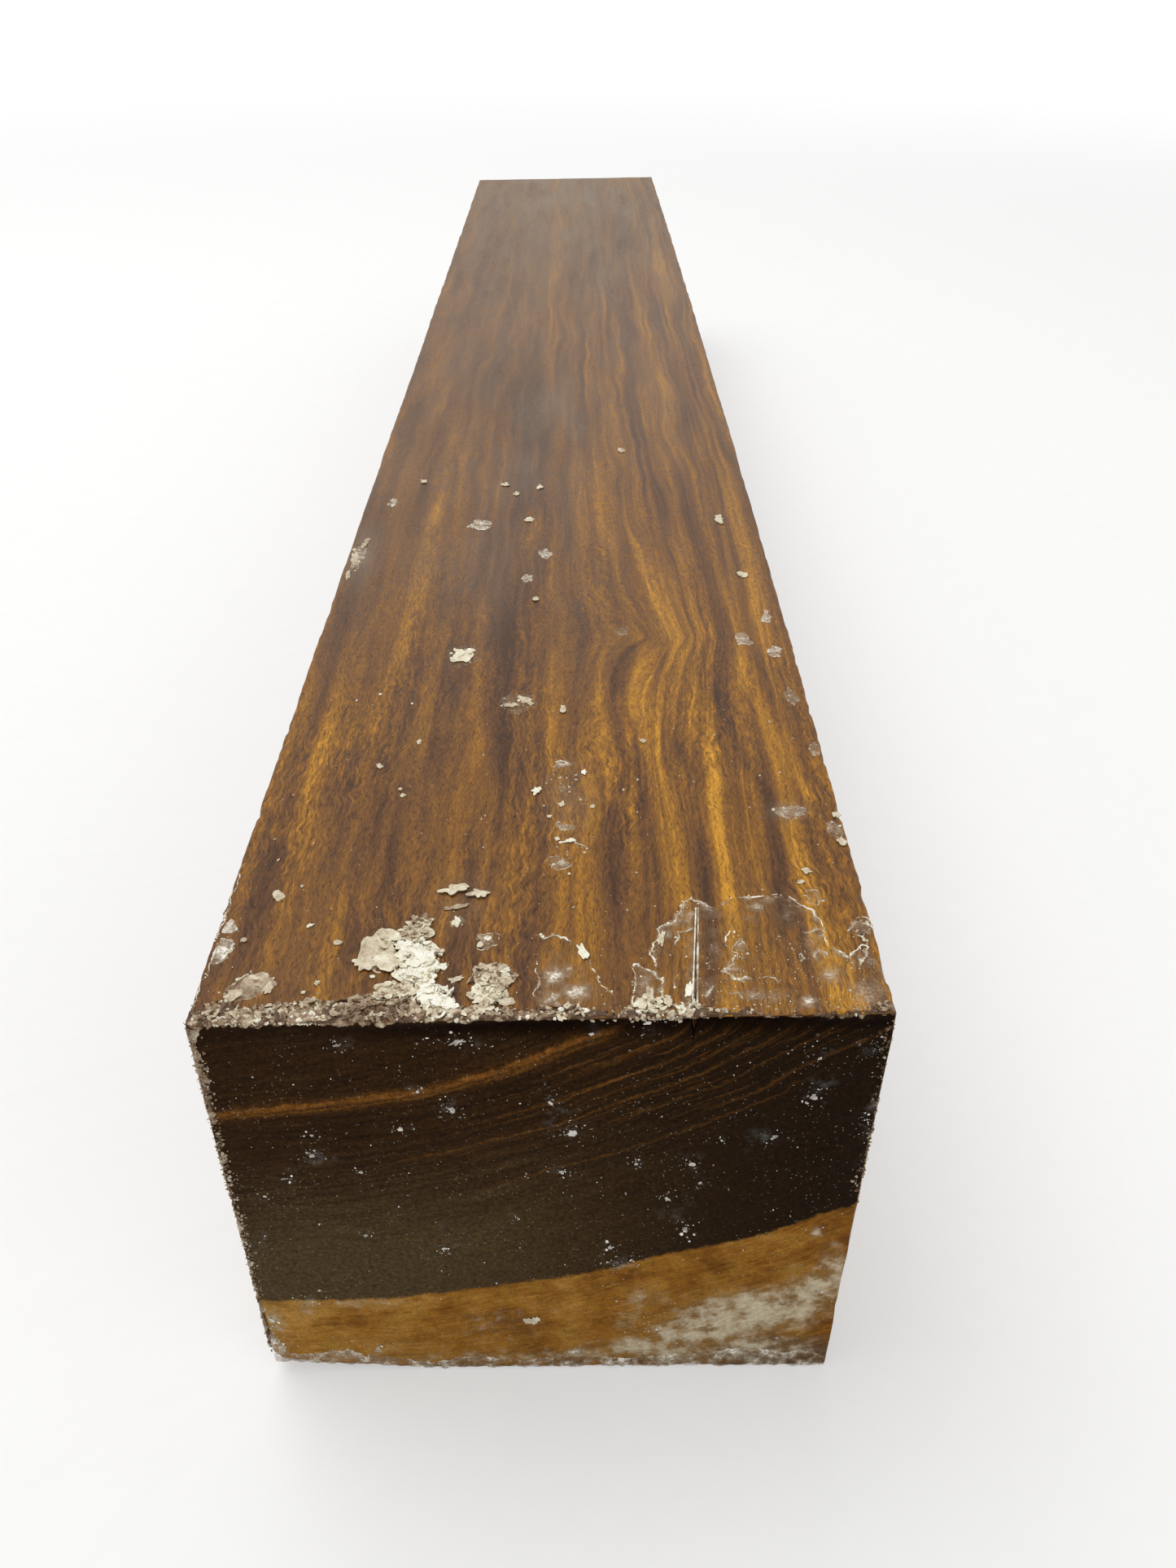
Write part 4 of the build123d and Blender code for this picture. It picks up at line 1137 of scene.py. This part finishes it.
# The large films and flakes of film, each with its hole, its frost and the steps of its mesh
parts = [film_patch(*film) for film in (
    (RIGHT_FILM, HOLE, 0.06, 0.18, 0.24), (MIDDLE_FILM, None, 0.10, 0.18, 0.24),
    (BROWN_FILM, None, 0.0, 0.22, 0.28), (AMBER_FLAKE, None, 0.36, 0.18, 0.22),
    (PINK_FLAKE, None, 0.46, 0.18, 0.22), (EDGE_FLAKE, None, 0.46, 0.18, 0.22),
)]
RIDGE_REACH = 32.0  # how far from the arris small films have raised rims
RIDGE_WIDTH, RIDGE_STRENGTH = 0.055, 0.55
turns = np.linspace(0.0, 2.0 * math.pi, 17, endpoint=False)
outlines = []
for number, (middle_u, middle_v, wide, long, frost) in enumerate(SMALL_FILMS):
    radius = 0.95 + 0.52 * hills(turns * 1.5 + number, turns * 0.0, 45, 3)
    corners = [middle_u + wide * radius * np.cos(turns), middle_v + long * radius * np.sin(turns)]
    corners = np.stack(corners, 1)
    parts.append(film_patch(corners.tolist(), None, frost, 0.24, 0.30))
    if middle_v < RIDGE_REACH:
        outlines.append((RIDGE_WIDTH, RIDGE_STRENGTH, *corners, corners[0]))
points, faces, inside, frost = joined(parts)
film = solid("wax_film", points, faces, clear_wax("clear_wax"), {"inside": inside, "frost": frost})
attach(film, "root")


# Crumbled rims: grains of wax along the torn rims of the films and over the small ones, grains that fill the
# cluster of flakes, and dust strewn over the upper face. Their draws go on from those of the crust's grains.
def strewn_along(strokes, spacing, seed):
    """Random places along strokes (half width, strength, point, point, ...), one each spacing millimetres,
    and the strength of the stroke at each of them."""
    random = np.random.default_rng(seed)
    found = []
    for wide, strength, *line in strokes:
        for start, stop in zip(line, line[1:]):
            length = math.dist(start, stop)
            t = random.uniform(0.0, 1.0, max(1, round(length * strength / spacing)))
            side = random.normal(0.0, 0.55 * wide + 0.05, (len(t), 2))
            found.append([np.interp(t, (0, 1), (start[0], stop[0])) + side[:, 0],
                          np.interp(t, (0, 1), (start[1], stop[1])) + side[:, 1], np.full(len(t), strength)])
    u, v, strength = np.concatenate(found, 1)
    bent_u, bent_v = fray(u, v)
    return 2.0 * u - bent_u, 2.0 * v - bent_v, strength


u, v, strength = strewn_along(RIM_STROKES, 0.20, 55)
kept = hills(u / 1.3, v / 1.3, 48, 2) > random.uniform(-0.9, 0.5, u.size)
u, v, strength = u[kept], v[kept], strength[kept]
rim_grains = scattered(random, near_skin, u, v, (-2.4, 0.5, 0.04, 0.26), (0.0, 0.2), 56,
                       grow=0.6 + 0.4 * strength, base=0.50 + 0.3 * strength)
u, v = strewn(SMALL_FILMS, 170, 58)
film_grains = scattered(random, near_skin, u, v, (-2.4, 0.45, 0.05, 0.25), (0.62, 0.18), 59,
                        grow=1.0 + v / 120.0, flat=0.5)
u = random.uniform(LEFT + 1.0, RIGHT - 1.0, 320)
v = 80.0 * random.uniform(0.0, 1.0, u.size) ** 1.9 + 1.0
dust = scattered(random, near_skin, u, v, (-2.7, 0.4, 0.04, 0.16), (0.55, 0.2), 57, grow=1.0 + v / 90.0)
u, v = random.uniform(20.0, 44.2, 330), 0.6 + 15.0 * random.uniform(0.0, 1.0, 330) ** 1.7
size, shade = random.uniform(0.035, 0.10, u.size), random.normal(0.66, 0.2, u.size)
right_dust = crumbs(near_skin, u, v, size, shade, 60)
rows = strewn_rows(CLUSTER, 560, 0.08, 0.28, 0.4, 64)
fill = crumbs(near_skin, rows[:, 0], rows[:, 1], rows[:, 2], rows[:, 6], 65, flat=1.5)
rims = loose("wax_rims", [rim_grains, film_grains, dust, right_dust, fill], cream)
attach(rims, "root")


# Torn rims: where a film broke off, its edge curled up as a thin white ridge, still stuck to the wood. They
# follow the thinner rim strokes and the outlines of the nearest small films.
def ridges(strokes, step, sharp, seed):
    """Ridges along strokes (half width, strength, point, point, ...), each a sheet on a strip that follows
    the line: inside = sharp * (width - distance from the line), less near both ends, where the width is the
    half width * (0.45 + 0.45 * strength + hills)."""
    found = []
    for wide, strength, *line in strokes:
        line = np.array(line, float)
        way = np.concatenate([[0.0], np.cumsum(np.linalg.norm(np.diff(line, axis=0), axis=1))])
        along = np.arange(0.0, way[-1] + step, step)
        middle = np.stack([np.interp(along, way, line[:, axis]) for axis in (0, 1)])
        middle = 2.0 * middle - np.stack(fray(*middle))
        ahead = np.gradient(middle, axis=1)
        ahead = ahead / np.maximum(np.linalg.norm(ahead, axis=0), 1e-6)
        aside = np.linspace(-1.0, 1.0, 9) * (1.3 * wide + 0.10)
        u = middle[0][:, None] - ahead[1][:, None] * aside
        v = middle[1][:, None] + ahead[0][:, None] * aside
        taper = smooth(0.0, 0.6, along) * smooth(0.0, 0.6, way[-1] - along)
        width = wide * (0.45 + 0.45 * strength + 0.9 * hills(u / 0.8, v / 0.8, seed, 3)) * taper[:, None]
        inside = sharp * (width - np.abs(aside) - 0.2 * (1.0 - taper[:, None]))
        rise = 0.09 + 0.06 * hills(u / 0.5, v / 0.5, seed + 1, 2)
        shade = 0.62 + 0.3 * strength + 0.25 * hills(u / 0.7, v / 0.7, seed + 2, 2)
        found.append(sheet(near_skin, u, v, inside, rise, shade))
    return found


thin = [(min(0.6 * wide, 0.11), strength, *line) for wide, strength, *line in RIM_STROKES if wide < 0.4]
points, faces, inside, shade = joined(ridges(thin + outlines, 0.16, 3.0, 101))
torn = solid("wax_ridges", points, faces, cream, {"shade": shade})
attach(torn, "root")

# The foot of the near end: the dipped wax ran down and set there as a milky rim with a scalloped edge. It
# sticks to the sawn end above the knocked corner. RIM is its edge: (x, height above the corner)
RIM = np.array([
    (-45.3, 7), (-44, 8), (-42.5, 3), (-40, 2.5), (-36, 3.4), (-33, 4), (-30, 2.5), (-28, 5.5), (-26, 2.5),
    (-22, 1.6), (-18, 2.2), (-14, 3.6), (-11, 3.4), (-8, 2.6), (-4, 2.2), (0, 2.4), (3, 4.6), (4.5, 5.2),
    (6, 2.8), (10, 2.6), (15, 2.8), (20, 3.6), (24, 3.2), (28, 4.4), (33, 5), (37, 3.6), (41, 3.8),
    (44, 2.6),
], float)


def foot_skin(u, v):
    """The foot of the near end, as points and normals: u is X, and v the height above the knocked corner."""
    z = v + knock(u, NEAR + 0.0 * v)
    y = NEAR - end_relief(u, z) + 0.35 * smooth(0.6, 0.0, v)
    return np.stack([u, y, z], -1), np.stack([0.0 * u, -1.0 + 0.0 * u, 0.0 * u], -1)


u, v = mesh_grid((LEFT + 0.8, RIGHT - 0.8), (0.25, 8.6), 0.24, 0.20)
scallops = 0.5 * hills(u / 2.2, v / 2.2, 71, 3) + 0.25 * hills(u / 0.7, v / 0.7, 72, 2)
inside = np.minimum(np.interp(u, RIM[:, 0], RIM[:, 1]) - v, v - 0.3) + scallops
inside = np.minimum(inside, v - 0.35)
frost = 0.50 + 0.40 * hills(u / 1.6, v / 1.6, 73, 3)
rise = 0.20 + 0.20 * hills(u / 1.5, v / 1.5, 74, 3) + 0.12 * np.clip(frost, 0.0, 1.0)
rise, frost = np.clip(rise, 0.06, None), np.clip(frost, 0.0, 1.2)
points, faces, inside, frost = sheet(foot_skin, u, v, inside, rise, frost)
foot = solid("wax_foot", points, faces, clear_wax("foot_wax"), {"inside": inside, "frost": frost})
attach(foot, "root")


# Specks of wax on the near end: loose groups of grains at SPECKS, single grains, and a thin scab in each of
# the small groups. They stick to the sawn wood, beside the milky patch at its lower right.
SMALL_GROUPS = 33  # how many rows of SPECKS are small groups: the first ones


def down_end(x, z):
    """The way along near_skin for a height on the near end."""
    return z - upper(x) + ARRIS - QUARTER


x, z = strewn(SPECKS, 1250, 81, 0.8)
beside_patch = np.hypot((x - 31.0) / 14.0, (z - 13.0) / 9.0) > 1.0
on_wood = (np.abs(x) < RIGHT - 0.5) & (z > 3.0) & beside_patch
x, z = x[on_wood], z[on_wood]
size = np.clip(np.random.default_rng(82).lognormal(-2.62, 0.5, x.size), 0.035, 0.25)
shade = np.random.default_rng(83).normal(0.64, 0.27, x.size)
groups = crumbs(near_skin, x, down_end(x, z), size, shade, 84, flat=0.5)
random = np.random.default_rng(85)
x, z = random.uniform(LEFT + 1.0, RIGHT - 1.0, 620), random.uniform(3.5, 78.0, 620)
single = scattered(random, near_skin, x, down_end(x, z), (-2.85, 0.48, 0.03, 0.22), (0.52, 0.26), 86,
                   flat=0.5)
rows = np.array([(a, down_end(a, b), wide, long, 30.0, 0.05, pale + 0.02)
                 for a, b, wide, long, pale in SPECKS[:SMALL_GROUPS]])
rows[:, 2:4] *= 0.30
scabs = flakes(near_skin, rows, 0.09, 0.03, 6, 87)
speck_wax = old_wax("speck_wax", (0.0, (0.03, 0.026, 0.021)), (0.35, (0.16, 0.15, 0.135)),
                    (0.7, (0.55, 0.52, 0.46)), (1.0, (0.94, 0.91, 0.84)))
specks = loose("end_specks", [groups, single, scabs], speck_wax)
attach(specks, "root")


# The upright arrises of the near end: grains of wax caught on them, torn fibres of the wood itself, and a
# thin brown crust of wax along the left one.
def left_skin(u, v):
    """The wood around the near left arris, as points and normals: u is the height, and v the way from the
    arris, along the left side where positive and across the near end where negative."""
    turn = np.clip((QUARTER - v) / (2.0 * QUARTER), 0.0, 1.0) * math.pi / 2.0
    x = LEFT + INSET + ARRIS - ARRIS * np.cos(turn) + np.clip(-v - QUARTER, 0.0, None)
    y = NEAR + INSET + ARRIS - ARRIS * np.sin(turn) + np.clip(v - QUARTER, 0.0, None)
    return np.stack([x, y, u], -1), np.stack([-np.cos(turn), -np.sin(turn), 0.0 * u], -1)


def right_skin(u, v):
    """The same around the near right arris."""
    points, normals = left_skin(u, v)
    return points * (-1.0, 1.0, 1.0) + (LEFT + RIGHT, 0.0, 0.0), normals * (-1.0, 1.0, 1.0)


def splinters(skin, u, v, wide, long, shade, seed):
    """Torn fibres that stand away from the skin: thin four-sided sticks in three parts, tapered and bent."""
    random = np.random.default_rng(seed)
    stick, faces, _ = box_skin(np.array([-1.0, 1.0]), np.array([-1.0, 1.0]), np.linspace(0.0, 1.0, 4))
    taper = 1.0 - 0.75 * stick[:, 2]
    bend = random.normal(0.0, 0.35, (len(u), 1, 2)) * stick[:, 2:] ** 2
    thickness = taper[:, None] * wide[:, None, None] * random.uniform(0.6, 1.6, (len(u), 1, 2))
    across = stick[:, :2] * thickness
    shape = np.concatenate([across + bend * long[:, None, None],
                            (stick[:, 2:] * 1.25 - 0.25) * long[:, None, None]], -1)
    tints = shade[:, None] + random.normal(0.0, 0.05, (len(u), len(stick)))
    return set_down(shape, faces, seat(skin, u, v, random.uniform(0.0, 3.0, len(u)), 0.45, random), tints)


height = 3.0 + 76.0 * random.uniform(0.0, 1.0, 700) ** 0.55
v = random.normal(-0.45, 0.55, height.size)
left_grains = scattered(random, left_skin, height, v, (-2.35, 0.45, 0.04, 0.26), (0.42, 0.22), 91)
height = 45.0 + 34.0 * random.uniform(0.0, 1.0, 220)
v = random.normal(-0.3, 0.5, height.size)
right_grains = scattered(random, right_skin, height, v, (-2.4, 0.5, 0.04, 0.3), (0.26, 0.16), 92)
height = np.concatenate([random.uniform(40.0, 79.0, 150), random.uniform(4.0, 40.0, 40)])
v = random.normal(0.0, 0.3, height.size)
wide, long = random.uniform(0.04, 0.15, height.size), random.uniform(0.15, 0.5, height.size)
left_fibres = splinters(left_skin, height, v, wide, long, random.normal(0.36, 0.14, height.size), 93)
height = random.uniform(42.0, 80.0, 80)
v = random.normal(0.0, 0.2, height.size)
wide, long = random.uniform(0.04, 0.12, height.size), random.uniform(0.12, 0.35, height.size)
right_fibres = splinters(right_skin, height, v, wide, long, random.normal(0.26, 0.08, height.size), 94)
u, v = mesh_grid((6.0, 78.4), (-2.3, 0.9), 0.24, 0.16)
crumble = hills(u / 0.8, v / 0.8, 97, 3)
patches = hills(u / 2.8, v / 2.8, 98, 3)
inside = np.minimum(v + 0.15 + 0.95 * smooth(28.0, 72.0, u), 0.35 - v) + 0.45 * crumble + 0.6 * patches - 0.12
rise = np.clip(0.07 + 0.15 * np.abs(hills(u / 0.7, v / 0.7, 99, 3)), 0.05, None)
shade = 0.26 + 0.26 * patches + 0.30 * crumble
points, faces, inside, shade = sheet(left_skin, u, v, inside, rise, shade)
edge_wax = old_wax("edge_wax", (0.0, (0.05, 0.022, 0.009)), (0.2, (0.16, 0.085, 0.038)),
                   (0.45, (0.34, 0.26, 0.17)), (0.7, (0.56, 0.50, 0.40)), (1.0, (0.84, 0.82, 0.75)))
parts = [left_grains, right_grains, left_fibres, right_fibres, (points, faces, shade)]
edges = loose("arris_grains", parts, edge_wax)
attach(edges, "root")


# The studio: a pale floor that the blank lies on, a white surround, and one wide soft lamp high up
# beyond the far end, as a window would be. The floor's own light shows only where the camera looks, straight,
# mirrored or through clear wax, and lights nothing.
FLOOR_REACH = 6.0  # in metres
reach = FLOOR_REACH / MM
floor_points = [(-reach, -reach, 0.0), (reach, -reach, 0.0), (reach, reach, 0.0), (-reach, reach, 0.0)]
paint = Finish("floor_paint", Roughness=0.9, Specular_IOR_Level=0.1)
grain = paint.noise(paint.place(0.004, 0.004, 0.004), 3.0, 0.5, 40.0)
paint.feed(paint.surface.inputs["Base Color"], paint.mix(grain + 0.5, (0.80, 0.80, 0.79), (0.84, 0.84, 0.83)))
seen = sum(paint.node("ShaderNodeLightPath", output=ray)
           for ray in ("Is Camera Ray", "Is Glossy Ray", "Is Transmission Ray"))
glow = paint.node("ShaderNodeEmission", {}, {"Color": (1.0, 1.0, 1.0, 1.0), "Strength": 1.0})
GLOW_NEAR, GLOW_FAR = 450.0, 1500.0  # where the floor starts to fade into the white surround, and is white
away = paint.node("ShaderNodeVectorMath", {"operation": "LENGTH"}, {0: paint.place()}, output=1)
share = seen.clip() * (0.42 + away.step(GLOW_NEAR, GLOW_FAR) * 0.58)
both = paint.node("ShaderNodeMixShader", {}, {0: share, 2: glow})
paint.tree.links.new(paint.surface.outputs[0], both.socket.node.inputs[1])
paint.tree.links.new(both.socket, paint.tree.nodes["Material Output"].inputs["Surface"])
floor = solid("floor", floor_points, [(0, 1, 2, 3)], paint.material, smooth_shaded=False)

# The surround: white where the eye meets it, also in a gloss or through clear wax, and dimmer as a light
world = bpy.data.worlds.new("surround")
bpy.context.scene.world = world
world.use_nodes = True
AS_A_LIGHT, TO_THE_EYE = 0.55, 1.0
sky = world.node_tree
path = sky.nodes.new("ShaderNodeLightPath")
bright = path.outputs["Is Camera Ray"]
for ray in ("Is Glossy Ray", "Is Transmission Ray"):
    either = sky.nodes.new("ShaderNodeMath")
    either.operation = "MAXIMUM"
    sky.links.new(bright, either.inputs[0])
    sky.links.new(path.outputs[ray], either.inputs[1])
    bright = either.outputs[0]
strength = sky.nodes.new("ShaderNodeMapRange")
strength.inputs["To Min"].default_value = AS_A_LIGHT
strength.inputs["To Max"].default_value = TO_THE_EYE
sky.links.new(bright, strength.inputs["Value"])
background = sky.nodes["Background"]
background.inputs["Color"].default_value = (1.0, 1.0, 1.0, 1.0)
sky.links.new(strength.outputs[0], background.inputs["Strength"])


def lamp(name, place, aim, size, power):
    """A square area lamp, in metres and watts, turned towards aim."""
    light = bpy.data.lights.new(name, "AREA")
    light.shape, light.size, light.energy = "SQUARE", size, power
    holder = bpy.data.objects.new(name, light)
    bpy.context.scene.collection.objects.link(holder)
    holder.location = place
    holder.rotation_euler = (Vector(aim) - Vector(place)).to_track_quat("-Z", "Y").to_euler()


lamp("window", (-0.55, 0.25, 1.6), (0.0, 0.0, 0.05), 1.3, 21.5)
lamp("fill", (0.9, -1.2, 1.0), (0.0, -0.2, 0.05), 1.0, 4.0)

# The camera: a phone held close above the near end, fitted to the corners of the blank in the photograph
FOCAL_LENGTH, SENSOR_WIDTH = 28.4427, 36.0
CAMERA_PLACE = (0.004225, -0.410223, 0.193832)  # in metres
CAMERA_TURN = (54.8404, -0.087, -0.5498)  # in degrees about X, Y and Z
camera = bpy.data.cameras.new("camera")
camera.lens, camera.sensor_width = FOCAL_LENGTH, SENSOR_WIDTH
camera.clip_start = 0.01
holder = bpy.data.objects.new("camera", camera)
bpy.context.scene.collection.objects.link(holder)
holder.location = CAMERA_PLACE
holder.rotation_euler = [math.radians(angle) for angle in CAMERA_TURN]
bpy.context.scene.camera = holder

bpy.context.scene.view_settings.view_transform = "Standard"
